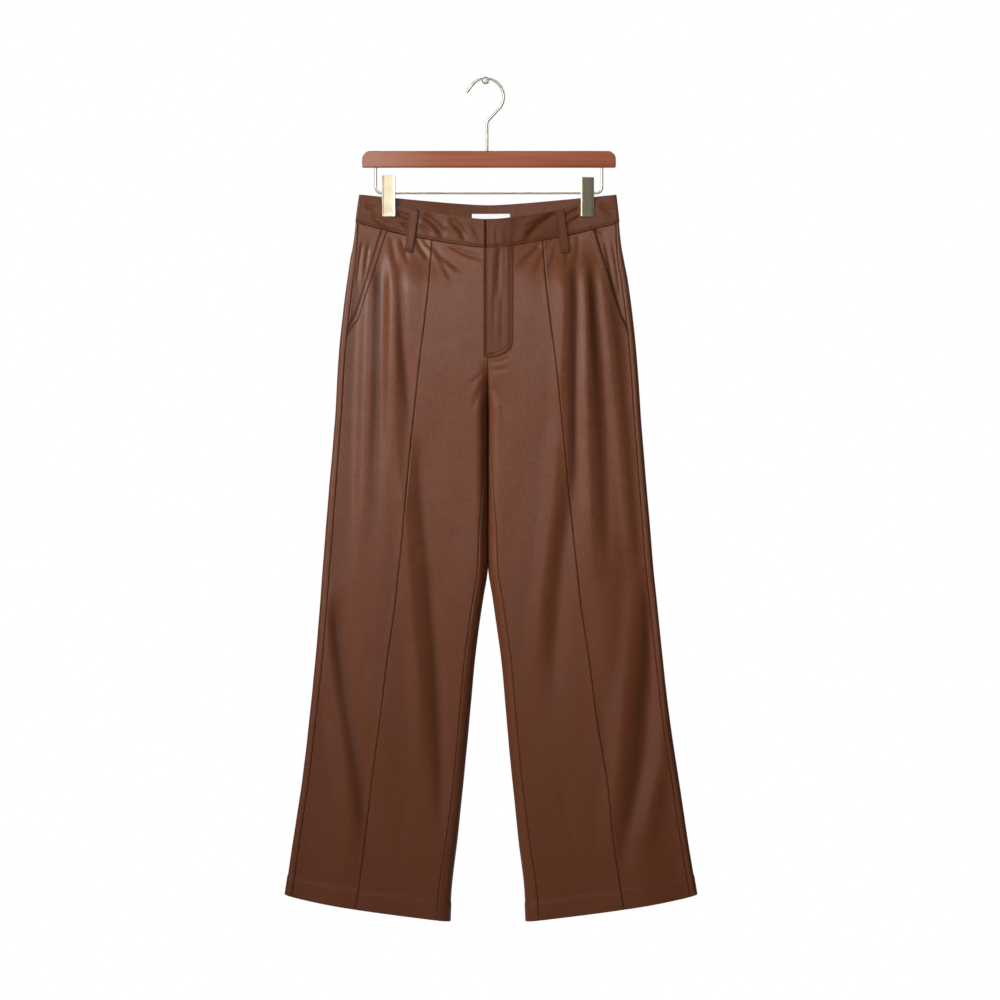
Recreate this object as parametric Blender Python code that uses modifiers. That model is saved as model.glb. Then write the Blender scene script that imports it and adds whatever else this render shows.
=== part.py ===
# Faux leather trousers, clipped by the waistband to a wooden hanger that hangs from a wall pin.
#
# Metres, +Z up, +X to the right as seen from the front, +Y towards the wall.
# The origin is the point where the hook's crown rests on the pin. A "drop" is a distance below it.
# "left" and "right" are as seen from the front.

import math
from collections import namedtuple

import bmesh
import bpy
import numpy as np

# ---- driving dimensions -------------------------------------------------------------------

CENTRE_X = 0.0035         # centre line of bar, stem and trousers, beside the hook's crown
SEAM_GAP = 0.0003         # between two pieces that are sewn or laid together
LEATHER = 0.0012          # one layer of coated cloth
BAND_WALL = 0.0022        # waistband: cloth, interlining and facing
BAND_PROUD = 0.0004       # how far the waistband stands out from the panels
STRIP_WALL = 0.0010       # welts, fly placket, hems and label
LOOP_WALL = 0.0016        # belt loops, folded in three

CROTCH_DROP = 0.5150
VALLEY_DROP = 0.4000      # where front and back start to turn in towards the crotch
WAIST_DROP = 0.2150       # down to here the two halves of the band lie in the clips' plane
DRAPE_LENGTH = 0.1000     # below the band, the cloth takes this long to reach its full depth
HIP_LINE = 0.2950         # from here down the grid's rows are level
CALF_LINE = 1.1200        # and from here on they follow the hem
CLIP_REACH = 0.1350       # between the clips, |x| below this, front and back bow apart
BOW = {"front": 0.0180, "back": 0.0090}
SWELL_FROM_SIDE = 0.0900  # distance over which a leg reaches its full depth
SWELL_FROM_INNER = 0.0700
DEEPEST_BACK = 0.0235     # the back stays clear of the wall

POCKET_TOP = (0.2198, 0.1555)     # slant pocket's opening edge: drop, distance from centre
POCKET_LEAN = 0.311               # and how far it leans out for each metre down
WELT_STEPS = (0.0, 0.0040, 0.0080)    # from the opening edge: the bearer tucks under the first
PLACKET_LEFT = -0.0018            # the fly's closing edge
PLACKET_RUN = 0.0375              # its stitched edge, from the centre line
PLACKET_CURVE_DROP = 0.3844       # the J starts to turn here
PLACKET_BOTTOM = 0.4105
UNDERLAP = 0.0120                 # left end of the band, under the right one
TUCK = (-0.0160, 0.0110)          # where that end starts to go under, and over what width
HEM_DEPTH = 0.0280
LABEL_X = (-0.0238, 0.0326)
LABEL_DROP = (0.1966, 0.2236)
LOOP_WIDTH = 0.0126
LOOP_OVER_TOP = 0.0004    # a loop's top stands just over the band's edge
LOOP_BELOW_SEAM = 0.0262
LOOP_BULGE = 0.0012

BAR_LENGTH = 0.3730
BAR_TOP = -0.1050
BAR_HEIGHT = 0.0241
BAR_DEPTH = 0.0130
BAR_CORNER = 0.0125       # top corners, seen from the front
BAR_EDGE = 0.0022
BAR_BEVEL = 0.0018
WIRE_RADIUS = 0.0020
WIRE_BORE = 0.0025
HOOK_RADIUS = 0.0280
STEM_DEPTH = 0.0120       # how far stem and rod reach into the bar
BORE_SPARE = 0.0010       # and how much deeper their bores are
ROD_HALF = 0.1663
ROD_Z = -0.1665
ROD_BEND = 0.0100
CLIP_X = 0.1453
CLIP_WIDTH = 0.0194
CLIP_YAW = math.radians(2.5)
JAW_SHEET = 0.0012
JAW_BEVEL = 0.0004
SLEEVE_RADIUS = 0.0036
SLEEVE_LENGTH = 0.0150
PIN_RADIUS = 0.0015
PIN_HEAD_RADIUS = 0.0055
PIN_HEAD_THICKNESS = 0.0024
PIN_NECK = 0.0030         # the head's back, in front of the hook's plane
WALL_Y = 0.0260           # plane of the wall, where the pin's shank ends

# Level sections of the trousers, from the waistband's top to below the hem. Distances from
# the centre line: left and right side, inner leg, front leg seam. "edge" is the fold radius
# at the sides, "front" and "back" are the depths at the middle of each half.
Section = namedtuple("Section", "drop left right inner leg_seam edge front back")
SECTIONS = (
    Section(0.1600, 0.1880, 0.1875, 0.00015, 0.0785, 0.0026, 0.0160, 0.0100),
    Section(0.2095, 0.1950, 0.1930, 0.00015, 0.0812, 0.0026, 0.0160, 0.0100),
    Section(0.2359, 0.1975, 0.1950, 0.00015, 0.0820, 0.0030, 0.0200, 0.0120),
    Section(0.2653, 0.2029, 0.2000, 0.00015, 0.0838, 0.0038, 0.0240, 0.0140),
    Section(0.2947, 0.2073, 0.2058, 0.00015, 0.0857, 0.0046, 0.0270, 0.0155),
    Section(0.3535, 0.2146, 0.2135, 0.00015, 0.0921, 0.0056, 0.0300, 0.0170),
    Section(0.4123, 0.2203, 0.2195, 0.00015, 0.0995, 0.0060, 0.0310, 0.0180),
    Section(0.4950, 0.2252, 0.2250, 0.00015, 0.1085, 0.0060, 0.0295, 0.0178),
    Section(0.5350, 0.2283, 0.2283, 0.00075, 0.1125, 0.0060, 0.0280, 0.0174),
    Section(0.6181, 0.2352, 0.2352, 0.00075, 0.1202, 0.0060, 0.0250, 0.0160),
    Section(0.7230, 0.2437, 0.2440, 0.00075, 0.1313, 0.0060, 0.0220, 0.0140),
    Section(0.7651, 0.2470, 0.2484, 0.00700, 0.1350, 0.0060, 0.0208, 0.0132),
    Section(0.8533, 0.2543, 0.2573, 0.01910, 0.1473, 0.0060, 0.0185, 0.0115),
    Section(0.9415, 0.2631, 0.2675, 0.02720, 0.1580, 0.0060, 0.0168, 0.0102),
    Section(1.0297, 0.2734, 0.2808, 0.03530, 0.1704, 0.0060, 0.0155, 0.0093),
    Section(1.1179, 0.2867, 0.2940, 0.04480, 0.1800, 0.0060, 0.0146, 0.0087),
    Section(1.1958, 0.2984, 0.3072, 0.05370, 0.1905, 0.0060, 0.0140, 0.0085),
    Section(1.2470, 0.3060, 0.3158, 0.05570, 0.1990, 0.0060, 0.0140, 0.0085),
)

# Distance of the side seam and the inside leg seam from their fold, on the front.
Inset = namedtuple("Inset", "drop outseam inseam")
INSETS = (
    Inset(0.1600, 0.0050, 0.0000),
    Inset(0.2150, 0.0050, 0.0000),
    Inset(0.2850, 0.0098, 0.0000),
    Inset(0.5300, 0.0100, 0.0000),
    Inset(0.7060, 0.0110, 0.0147),
    Inset(1.0000, 0.0103, 0.0147),
    Inset(1.2470, 0.0110, 0.0200),
)

# Edges that run across the garment: drop at the centre line and at the sides.
Edge = namedtuple("Edge", "centre side power")
BAND_TOP = {"front": Edge(0.2063, 0.1695, 1.4), "back": Edge(0.1851, 0.1695, 1.3)}
BAND_SEAM = {"front": Edge(0.2474, 0.2101, 1.3), "back": Edge(0.2263, 0.2101, 1.3)}
BAND_HALF_WIDTH = 0.1930
HEM_SIDE_DROP = 1.1973
HEM_INNER_DROP = 1.2370
HEM_POWER = 0.74

# Folds: width and depth of a soft ridge (+) or trough (-), along (drop, x) points from top to bottom.
Fold = namedtuple("Fold", "face width depth path")
FOLDS = (
    Fold("front", 0.0090, 0.0032, ((0.300, -0.173), (0.393, -0.186), (0.490, -0.187), (0.650, -0.195))),
    Fold("front", 0.0085, -0.0034, ((0.270, -0.160), (0.368, -0.166), (0.490, -0.165), (0.670, -0.162))),
    Fold("front", 0.0095, 0.0030, ((0.236, -0.149), (0.324, -0.147), (0.471, -0.145), (0.720, -0.132))),
    Fold("front", 0.0080, -0.0026, ((0.262, -0.140), (0.343, -0.132), (0.442, -0.127), (0.590, -0.118))),
    Fold("front", 0.0150, -0.0026, ((0.590, -0.104), (0.711, -0.100), (0.883, -0.086), (1.040, -0.080))),
    Fold("front", 0.0080, 0.0018, ((0.255, -0.141), (0.320, -0.120), (0.383, -0.110), (0.460, -0.106))),
    Fold("front", 0.0140, -0.0030, ((0.760, -0.231), (0.883, -0.221), (0.981, -0.206), (1.150, -0.184))),
    Fold("front", 0.0130, 0.0022, ((0.780, -0.218), (0.850, -0.196), (0.930, -0.168))),
    Fold("front", 0.0090, -0.0034, ((0.240, 0.139), (0.320, 0.123), (0.440, 0.118), (0.590, 0.124))),
    Fold("front", 0.0150, -0.0024, ((0.590, 0.107), (0.662, 0.101), (0.784, 0.088), (0.920, 0.077))),
    Fold("front", 0.0090, 0.0030, ((0.236, 0.146), (0.343, 0.139), (0.490, 0.140), (0.780, 0.145))),
    Fold("front", 0.0085, -0.0030, ((0.262, 0.151), (0.343, 0.162), (0.540, 0.162), (0.640, 0.166))),
    Fold("front", 0.0095, 0.0028, ((0.262, 0.158), (0.368, 0.179), (0.490, 0.184), (0.600, 0.188))),
    Fold("front", 0.0140, -0.0030, ((0.740, 0.231), (0.858, 0.223), (0.956, 0.213), (1.130, 0.192))),
    Fold("front", 0.0130, 0.0022, ((0.980, 0.247), (1.060, 0.228), (1.150, 0.200))),
    Fold("back", 0.0120, 0.0028, ((0.240, -0.148), (0.400, -0.152), (0.620, -0.168))),
    Fold("back", 0.0120, -0.0030, ((0.235, -0.122), (0.400, -0.118), (0.650, -0.110))),
    Fold("back", 0.0140, -0.0028, ((0.470, -0.030), (0.530, -0.070), (0.590, -0.120))),
    Fold("back", 0.0150, -0.0026, ((0.640, -0.196), (0.820, -0.208), (1.020, -0.222))),
    Fold("back", 0.0160, 0.0022, ((0.800, -0.130), (0.950, -0.152), (1.120, -0.188))),
    Fold("back", 0.0120, 0.0026, ((0.240, 0.144), (0.380, 0.150), (0.580, 0.160))),
    Fold("back", 0.0130, -0.0030, ((0.240, 0.116), (0.420, 0.113), (0.680, 0.104))),
    Fold("back", 0.0140, -0.0026, ((0.475, 0.034), (0.540, 0.078), (0.610, 0.132))),
    Fold("back", 0.0150, -0.0028, ((0.600, 0.200), (0.780, 0.206), (0.980, 0.226))),
    Fold("back", 0.0150, 0.0022, ((0.860, 0.136), (1.000, 0.160), (1.160, 0.196))),
)
FOLD_FADE = 0.0450        # length over which a fold's ends die away
FOLD_CLEAR = 0.0180       # folds fade this close to a side or inner leg
FOLD_OPEN = 0.0200        # but above the crotch they cross the centre line
BEARER_FOOT = 0.6         # the bearer's last row stops this far down its cell
SHARP_ANGLE = math.radians(40.0)

# Grid of the panels: rows in three stretches, and stations along a ring where it turns fast.
UPPER_ROWS = 5
HIP_ROWS = 10
LEG_ROWS = 10
LOWER_ROWS = 3
POCKET_ROWS = UPPER_ROWS + 4      # the slant opening meets the side seam at this row
FLY_ROWS = UPPER_ROWS + 3         # the fly's J turns below this row
RING_TOP = 0.1630
RING_STEP = 0.0040
RING_COUNT = 271
RING_POINTS = 96
INNER_SPANS = 4           # even cells between the stations below
OUTER_SPANS = 13
BACK_SPANS = 8
BAND_ROWS = 4
LOOP_ROWS = 9
NEAR_INNER = (0.0, 0.0035, 0.0070, 0.0115, 0.0245, PLACKET_RUN)
NEAR_OUTSEAM = (0.0, 0.0045, 0.0092, 0.0139, 0.0186, 0.0230, 0.0300)
NEAR_INSEAM = (0.0, 0.0050, 0.0105, 0.0160, 0.0215, 0.0300)
NEAR_BAND_END = (0.0, 0.0025, 0.0050, 0.0080, 0.0120)

Finish = namedtuple("Finish", "colour roughness metallic")
FINISHES = {
    "leather": Finish((0.115, 0.040, 0.024), 0.42, 0.0),
    "wood": Finish((0.260, 0.070, 0.035), 0.35, 0.0),
    "wire": Finish((0.550, 0.510, 0.450), 0.30, 1.0),
    "clip": Finish((0.600, 0.550, 0.430), 0.35, 1.0),
    "label": Finish((0.800, 0.820, 0.800), 0.80, 0.0),
}


# ---- scene and helpers --------------------------------------------------------------------

def clear_scene():
    for item in list(bpy.data.objects):
        bpy.data.objects.remove(item, do_unlink=True)


def make_collection(name):
    collection = bpy.data.collections.new(name)
    bpy.context.scene.collection.children.link(collection)
    return collection


clear_scene()
TROUSERS = make_collection("leather_trousers_on_hanger")
CUTTERS = make_collection("cutters")
HANGING_LINE = bpy.data.objects.new("hanging_line", None)
HANGING_LINE.location = (CENTRE_X, 0.0, 0.0)
TROUSERS.objects.link(HANGING_LINE)


def make_material(name, finish):
    material = bpy.data.materials.new(name)
    material.use_nodes = True
    shader = material.node_tree.nodes["Principled BSDF"]
    shader.inputs["Base Color"].default_value = (*finish.colour, 1.0)
    shader.inputs["Roughness"].default_value = finish.roughness
    shader.inputs["Metallic"].default_value = finish.metallic
    return material


def add_object(name, data, finish, on_centre_line=True):
    """Links an object with a material of its own, beside the centre line's empty or under it."""
    item = bpy.data.objects.new(name, data)
    data.materials.append(make_material(f"{name}_{finish}", FINISHES[finish]))
    TROUSERS.objects.link(item)
    if on_centre_line:
        item.parent = HANGING_LINE
    return item


def smooth_step(value):
    t = np.clip(value, 0.0, 1.0)
    return t * t * (3.0 - 2.0 * t)


def round_off(distance, radius):
    """Rises from 0 at an edge to 1 at one radius from it, as a quarter circle."""
    t = 1.0 - np.clip(distance / radius, 0.0, 1.0)
    return np.sqrt(1.0 - t * t)


def column(table, name, drop):
    """A smooth curve through one column of a table, without overshoot between its rows."""
    at = np.array([row.drop for row in table])
    value = np.array([getattr(row, name) for row in table])
    step = np.diff(at)
    slope = np.diff(value) / step
    rising = slope[:-1] * slope[1:] > 1e-12
    before = np.where(rising, slope[:-1], 1.0)
    after = np.where(rising, slope[1:], 1.0)
    inner = np.where(rising, 2.0 / (1.0 / before + 1.0 / after), 0.0)
    tangent = np.concatenate([slope[:1], inner, slope[-1:]])
    drop = np.clip(drop, at[0], at[-1])
    k = np.clip(np.searchsorted(at, drop) - 1, 0, len(step) - 1)
    t = (drop - at[k]) / step[k]
    rise = value[k + 1] - value[k]
    bend = t * (1.0 - t) * step[k] * (tangent[k] * (1.0 - t) - tangent[k + 1] * t)
    return value[k] + rise * t * t * (3.0 - 2.0 * t) + bend


# ---- the form of the trousers -------------------------------------------------------------

def fold_relief(face, x, drop):
    relief = 0.0
    for fold in FOLDS:
        if fold.face != face:
            continue
        drops, places = zip(*fold.path)
        centre = np.interp(drop, drops, places)
        fade = smooth_step((drop - drops[0]) / FOLD_FADE) * smooth_step((drops[-1] - drop) / FOLD_FADE)
        relief = relief + fold.depth * fade * np.exp(-(((x - centre) / fold.width) ** 2))
    return relief


def side_at(x, drop):
    return np.where(x < 0.0, column(SECTIONS, "left", drop), column(SECTIONS, "right", drop))


def depth(face, x, drop):
    """How far the cloth's outside lies in front of the clips' plane, or behind it."""
    across = np.abs(x)
    edge = column(SECTIONS, "edge", drop)
    from_side = side_at(x, drop) - across
    from_inner = np.maximum(across - column(SECTIONS, "inner", drop), 0.0)
    turned_in = np.clip((drop - VALLEY_DROP) / (CROTCH_DROP - VALLEY_DROP), 0.0, 1.0)
    centre = np.sqrt(1.0 - turned_in ** 2)
    rim = edge * round_off(from_side, edge)
    bow = BOW[face] * np.cos(0.5 * math.pi * np.clip(across / CLIP_REACH, 0.0, 1.0)) ** 2
    swell = smooth_step(from_side / SWELL_FROM_SIDE)
    swell = swell * (centre + (1.0 - centre) * smooth_step(from_inner / SWELL_FROM_INNER))
    body = rim * (centre + (1.0 - centre) * round_off(from_inner, edge))
    body = body + (column(SECTIONS, face, drop) - edge) * swell
    clear = smooth_step(from_side / FOLD_CLEAR)
    clear = clear * smooth_step((from_inner + FOLD_OPEN * centre) / FOLD_CLEAR)
    body = body + fold_relief(face, x, drop) * clear
    drape = smooth_step((drop - WAIST_DROP) / DRAPE_LENGTH)
    total = (rim + bow) * (1.0 - drape) + body * drape
    return np.minimum(total, DEEPEST_BACK) if face == "back" else total


def face_point(face, x, drop):
    y = depth(face, x, drop)
    return np.stack([x, -y if face == "front" else y, -drop], axis=-1)


def face_normal(face, x, drop):
    e = 0.0005
    by_x = (depth(face, x + e, drop) - depth(face, x - e, drop)) / (2.0 * e)
    by_drop = (depth(face, x, drop + e) - depth(face, x, drop - e)) / (2.0 * e)
    out = -1.0 if face == "front" else 1.0
    normal = np.stack([-by_x, np.full_like(by_x, out), by_drop], axis=-1)
    return normal / np.linalg.norm(normal, axis=-1, keepdims=True)


def edge_drop(edge, x):
    share = np.clip(np.abs(x) / BAND_HALF_WIDTH, 0.0, 1.0)
    return edge.centre + (edge.side - edge.centre) * share ** edge.power


class Half:
    """One half of the trousers as rings: from the centre or inner leg across the front,
    round the side, across the back and, below the crotch, closed at the inner leg."""

    def __init__(self, side):
        self.side = side
        share = 0.5 * (1.0 - np.cos(np.linspace(0.0, math.pi, RING_POINTS)))
        self.drops = RING_TOP + RING_STEP * np.arange(RING_COUNT)
        drop = self.drops[:, None] + np.zeros((1, RING_POINTS))
        inner = column(SECTIONS, "inner", drop)
        x = inner + (side_at(np.float64(side), drop) - inner) * share
        front = depth("front", side * x, drop)
        back = depth("back", side * x, drop)
        self.x = np.concatenate([x, x[:, -2::-1]], axis=1)
        self.y = np.concatenate([-front, back[:, -2::-1]], axis=1)
        steps = np.hypot(np.diff(self.x), np.diff(self.y))
        self.run = np.concatenate([np.zeros((RING_COUNT, 1)), np.cumsum(steps, axis=1)], axis=1)
        self.closed = self.drops >= CROTCH_DROP - 1e-6
        self.seams = self.place_seams()

    def place_seams(self):
        """Where each seam crosses the rings, as a length from the ring's start."""
        drop = self.drops
        outer = side_at(np.float64(self.side), drop)
        narrow = column(SECTIONS, "left", drop)
        outseam = outer - column(INSETS, "outseam", drop)
        slant = POCKET_TOP[1] + POCKET_LEAN * (drop - POCKET_TOP[0])
        total = self.run[:, -1]
        inseam = self.front_run(column(SECTIONS, "inner", drop) + column(INSETS, "inseam", drop))
        return {
            "inseam": inseam,
            "leg_seam": self.front_run(column(SECTIONS, "leg_seam", drop) * outer / narrow),
            "pocket": self.front_run(np.minimum(slant, outseam)),
            "outseam": self.front_run(outseam),
            "back_end": total + np.where(self.closed, inseam, 0.0),
            "total": total,
        }

    def front_run(self, across):
        x, run = self.x[:, :RING_POINTS], self.run[:, :RING_POINTS]
        return np.array([np.interp(across[k], x[k], run[k]) for k in range(RING_COUNT)])

    def seam(self, name, drop):
        return float(np.interp(drop, self.drops, self.seams[name]))

    def at(self, drop, run):
        """The point at a length along the ring at one height, between two stored rings."""
        place = min(max((drop - RING_TOP) / RING_STEP, 0.0), RING_COUNT - 1.001)
        k = int(place + 1e-9)
        t = max(place - k, 0.0)
        spots = []
        for ring in (k, k + 1):
            total = self.run[ring, -1]
            turn = run % total if self.closed[ring] else run
            spot = [np.interp(turn, self.run[ring], line[ring]) for line in (self.x, self.y)]
            spots.append(spot)
        (x0, y0), (x1, y1) = spots
        return np.array([self.side * (x0 + (x1 - x0) * t), y0 + (y1 - y0) * t, -drop])

    def normal(self, drop, run):
        e = 0.0004
        if drop < CROTCH_DROP - 1e-6:
            run = min(max(run, 2.0 * e), self.seam("total", drop) - 3.0 * e)
        along = self.at(drop, run + e) - self.at(drop, run - e)
        down = self.at(drop + e, run) - self.at(drop - e, run)
        normal = self.side * np.cross(down, along)
        return normal / np.linalg.norm(normal)

    def face_of(self, run):
        """Whether a length along the ring at the waist lies on the front or the back."""
        side = float(np.interp(WAIST_DROP, self.drops, self.run[:, RING_POINTS - 1]))
        return "back" if run > side else "front"


def hem_drop(half, x):
    inner = float(column(SECTIONS, "inner", np.float64(HEM_INNER_DROP)))
    outer = float(side_at(np.float64(half.side), np.float64(HEM_SIDE_DROP)))
    share = min(max((outer - abs(x)) / (outer - inner), 0.0), 1.0)
    return HEM_SIDE_DROP + (HEM_INNER_DROP - HEM_SIDE_DROP) * share ** HEM_POWER


def row_drops(top, bottom):
    """Drops of a panel's rows at one column, from its top edge down to its hem."""
    return np.concatenate([
        np.linspace(top, HIP_LINE, UPPER_ROWS + 1)[:-1],
        np.linspace(HIP_LINE, CROTCH_DROP, HIP_ROWS + 1)[:-1],
        np.linspace(CROTCH_DROP, CALF_LINE, LEG_ROWS + 1)[:-1],
        np.linspace(CALF_LINE, bottom, LOWER_ROWS + 1),
    ])


def stations(start, end, near_start, between, near_end):
    """Lengths along a ring: given steps at both ends and even ones between them."""
    first = [start + step for step in near_start]
    last = [end - step for step in reversed(near_end)]
    middle = np.linspace(first[-1], last[0], between + 1)[1:-1]
    return np.concatenate([first, middle, last])


def panel_runs(half, piece, drop):
    """Where the columns of one panel cross the ring at one height, half a gap inside its seams."""
    gap = 0.5 * SEAM_GAP
    if piece == "front_inner":
        start, end = half.seam("inseam", drop) + gap, half.seam("leg_seam", drop) - gap
        return stations(start, end, NEAR_INNER, INNER_SPANS, (0.0,))
    if piece == "front_outer":
        start, end = half.seam("leg_seam", drop) + gap, half.seam("pocket", drop) - gap
        return stations(start, end, (0.0,), OUTER_SPANS, WELT_STEPS)
    end = half.seam("back_end", drop) - (gap if drop >= CROTCH_DROP - 1e-6 else 0.0)
    return stations(half.seam("outseam", drop) + gap, end, NEAR_OUTSEAM, BACK_SPANS, NEAR_INSEAM)


# ---- walls --------------------------------------------------------------------------------

def wall_mesh(name, outer, inner, around=False):
    """A closed wall between two grids of points. With around, its columns close into a ring."""
    rows, columns = outer.shape[:2]
    points = np.concatenate([outer.reshape(-1, 3), inner.reshape(-1, 3)])

    def spot(row, col, layer):
        return (layer * rows + row) * columns + col % columns

    faces = []
    spans = columns if around else columns - 1
    for layer in (0, 1):
        for row in range(rows - 1):
            for col in range(spans):
                quad = [spot(row, col, layer), spot(row, col + 1, layer)]
                quad += [spot(row + 1, col + 1, layer), spot(row + 1, col, layer)]
                faces.append(quad)
    for row in (0, rows - 1):
        for col in range(spans):
            faces.append([spot(row, col + a, layer) for a, layer in ((0, 0), (1, 0), (1, 1), (0, 1))])
    if not around:
        for col in (0, columns - 1):
            for row in range(rows - 1):
                faces.append([spot(row + a, col, layer) for a, layer in ((0, 0), (1, 0), (1, 1), (0, 1))])
    mesh = bpy.data.meshes.new(name)
    mesh.from_pydata([tuple(point) for point in points], [], faces)
    build = bmesh.new()
    build.from_mesh(mesh)
    finish_mesh(build, mesh)
    return mesh


def finish_mesh(build, mesh):
    """Turns all faces outwards, then shades the mesh smooth but for its edges."""
    bmesh.ops.recalc_face_normals(build, faces=build.faces)
    build.to_mesh(mesh)
    build.free()
    mesh.shade_smooth()
    mesh.set_sharp_from_angle(angle=SHARP_ANGLE)


def add_wall(name, points, normals, proud, thickness, finish="leather", around=False):
    """A cloth piece on given points: its outside proud of them, its inside a wall below."""
    proud = np.asarray(proud)[..., None] if np.ndim(proud) else proud
    outer = points + normals * proud
    inner = outer - normals * thickness
    return add_object(name, wall_mesh(name, outer, inner, around), finish)


def panel_grid(half, piece):
    """Points and normals of a panel, its rows running from the waist seam to the hem."""
    count = UPPER_ROWS + HIP_ROWS + LEG_ROWS + LOWER_ROWS + 1
    top_runs = panel_runs(half, piece, WAIST_DROP)
    low_runs = panel_runs(half, piece, HEM_SIDE_DROP)
    points = np.zeros((count, len(top_runs), 3))
    normals = np.zeros_like(points)
    for col, (top_run, low_run) in enumerate(zip(top_runs, low_runs)):
        seam = BAND_SEAM[half.face_of(top_run)]
        top = edge_drop(seam, half.at(WAIST_DROP, top_run)[0]) + 0.5 * SEAM_GAP
        bottom = hem_drop(half, half.at(HEM_SIDE_DROP, low_run)[0])
        for row, drop in enumerate(row_drops(top, bottom)):
            run = panel_runs(half, piece, drop)[col]
            points[row, col] = half.at(drop, run)
            normals[row, col] = half.normal(drop, run)
    return points, normals


def strip_grid(face, lines):
    """Points and normals on the front or back, from rows of (x, drop) pairs."""
    spots = np.array(lines)
    x, drop = spots[..., 0], spots[..., 1]
    return face_point(face, x, drop), face_normal(face, x, drop)


# ---- trousers -----------------------------------------------------------------------------

SIDES = {"left": Half(-1), "right": Half(1)}
PANEL_KINDS = ("front_inner", "front_outer", "back")
PANELS = {}


def make_panels():
    for side, half in SIDES.items():
        for piece in PANEL_KINDS:
            name = f"{piece}_{side}"
            PANELS[name] = panel_grid(half, piece)
            add_wall(name, *PANELS[name], 0.0, LEATHER)


def leg_runs(half, drop):
    """The columns of all three panels round a leg, one where two meet."""
    return np.concatenate([panel_runs(half, piece, drop) for piece in PANEL_KINDS])


def make_hems():
    """Turned-up hems: a ring inside each leg's foot, just clear of the panels."""
    set_in = -(LEATHER + 2.0 * SEAM_GAP)
    for side, half in SIDES.items():
        apart = np.concatenate([[True], np.diff(leg_runs(half, CALF_LINE)) > 2.0 * SEAM_GAP])
        places = [half.at(HEM_SIDE_DROP, run)[0] for run in leg_runs(half, HEM_SIDE_DROP)[apart]]
        points, normals = [], []
        for step in (HEM_DEPTH, SEAM_GAP):
            spots = []
            for index, x in enumerate(places):
                drop = hem_drop(half, x) - step
                run = leg_runs(half, drop)[apart][index]
                spots.append((half.at(drop, run), half.normal(drop, run)))
            points.append([spot[0] for spot in spots])
            normals.append([spot[1] for spot in spots])
        add_wall(f"hem_{side}", np.array(points), np.array(normals), set_in, STRIP_WALL, around=True)


def lay_between(points, share):
    """A row or column of points part of the way from the first to the second."""
    return points[0] + (points[1] - points[0]) * share


def make_pockets():
    """The hip bearer that shows in each slant pocket, and the stitched welt on its opening edge."""
    gap = 0.5 * SEAM_GAP
    under = -(LEATHER + SEAM_GAP)
    rows = POCKET_ROWS + 1
    for name, half in SIDES.items():
        points, normals = PANELS[f"front_outer_{name}"]
        welt = (slice(0, rows), slice(-len(WELT_STEPS), None))
        add_wall(f"pocket_welt_{name}", points[welt], normals[welt], SEAM_GAP + STRIP_WALL, STRIP_WALL)

        beyond = np.linspace(0.0, 1.0, 6)[1:]
        bearer = np.zeros((rows, 2 + len(beyond), 3))
        upright = np.zeros_like(bearer)
        bearer[:, :2] = points[:rows, -2:]
        upright[:, :2] = normals[:rows, -2:]
        for index, share in enumerate(beyond):
            def run_at(drop, share=share):
                start, end = half.seam("pocket", drop) + gap, half.seam("outseam", drop) - gap
                return start + (end - start) * share
            top = edge_drop(BAND_SEAM["front"], half.at(WAIST_DROP, run_at(WAIST_DROP))[0]) + gap
            for row, drop in enumerate(row_drops(top, HEM_SIDE_DROP)[:rows]):
                bearer[row, 2 + index] = half.at(drop, run_at(drop))
                upright[row, 2 + index] = half.normal(drop, run_at(drop))
        for grid in (bearer, upright):
            grid[-1] = lay_between(grid[-2:], BEARER_FOOT)
        set_in = under * (1.0 - smooth_step(np.concatenate([(0.0, 0.0), beyond])))
        add_wall(f"pocket_bearer_{name}", bearer, upright, np.tile(set_in, (rows, 1)), LEATHER)


def make_fly():
    """The stitched placket: straight down from the band, then turning in to its foot as a J."""
    inner = len(NEAR_INNER)
    rows = FLY_ROWS + 3
    left, left_up = (grid[:rows + 1, :2] for grid in PANELS["front_inner_left"])
    right, right_up = (grid[:rows + 1, :inner] for grid in PANELS["front_inner_right"])
    share = (PLACKET_LEFT - left[0, 0, 0]) / (left[0, 1, 0] - left[0, 0, 0])
    edge = lay_between((left[:, :1], left[:, 1:]), share)
    edge_up = lay_between((left_up[:, :1], left_up[:, 1:]), share)
    points = np.concatenate([edge, right], axis=1)
    normals = np.concatenate([edge_up, right_up], axis=1)
    drops = -points[:, -1, 2]
    for col in range(inner + 1):
        across = (points[FLY_ROWS, col, 0] - PLACKET_LEFT) / (PLACKET_RUN - PLACKET_LEFT)
        reach = PLACKET_BOTTOM - PLACKET_CURVE_DROP
        foot = PLACKET_CURVE_DROP + reach * math.sqrt(max(1.0 - across ** 2, 0.0))
        last = np.linspace(drops[FLY_ROWS], foot, 4)[1:]
        for grid in (points, normals):
            lane = grid[:, col].copy()
            bent = [np.interp(last, drops, lane[:, axis]) for axis in range(3)]
            grid[FLY_ROWS + 1:FLY_ROWS + 4, col] = np.stack(bent, axis=-1)
    add_wall("fly_placket", points, normals, SEAM_GAP + STRIP_WALL, STRIP_WALL)


def outseam_x(side, drop):
    drop = np.float64(drop)
    return float(side_at(np.float64(side), drop) - column(INSETS, "outseam", drop))


def band_lines(side, places):
    """Rows across a front band from its top edge to the waist seam, its end along the side seam."""
    end = outseam_x(side, WAIST_DROP)
    lines = []
    for share in np.linspace(0.0, 1.0, BAND_ROWS):
        line = []
        for x in places:
            top = float(edge_drop(BAND_TOP["front"], x))
            bottom = float(edge_drop(BAND_SEAM["front"], x)) - 0.5 * SEAM_GAP
            drop = top + (bottom - top) * share
            stretch = (outseam_x(side, drop) / end - 1.0) * abs(x / end) ** 3
            line.append((x * (1.0 + stretch), drop))
        lines.append(line)
    return lines


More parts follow.
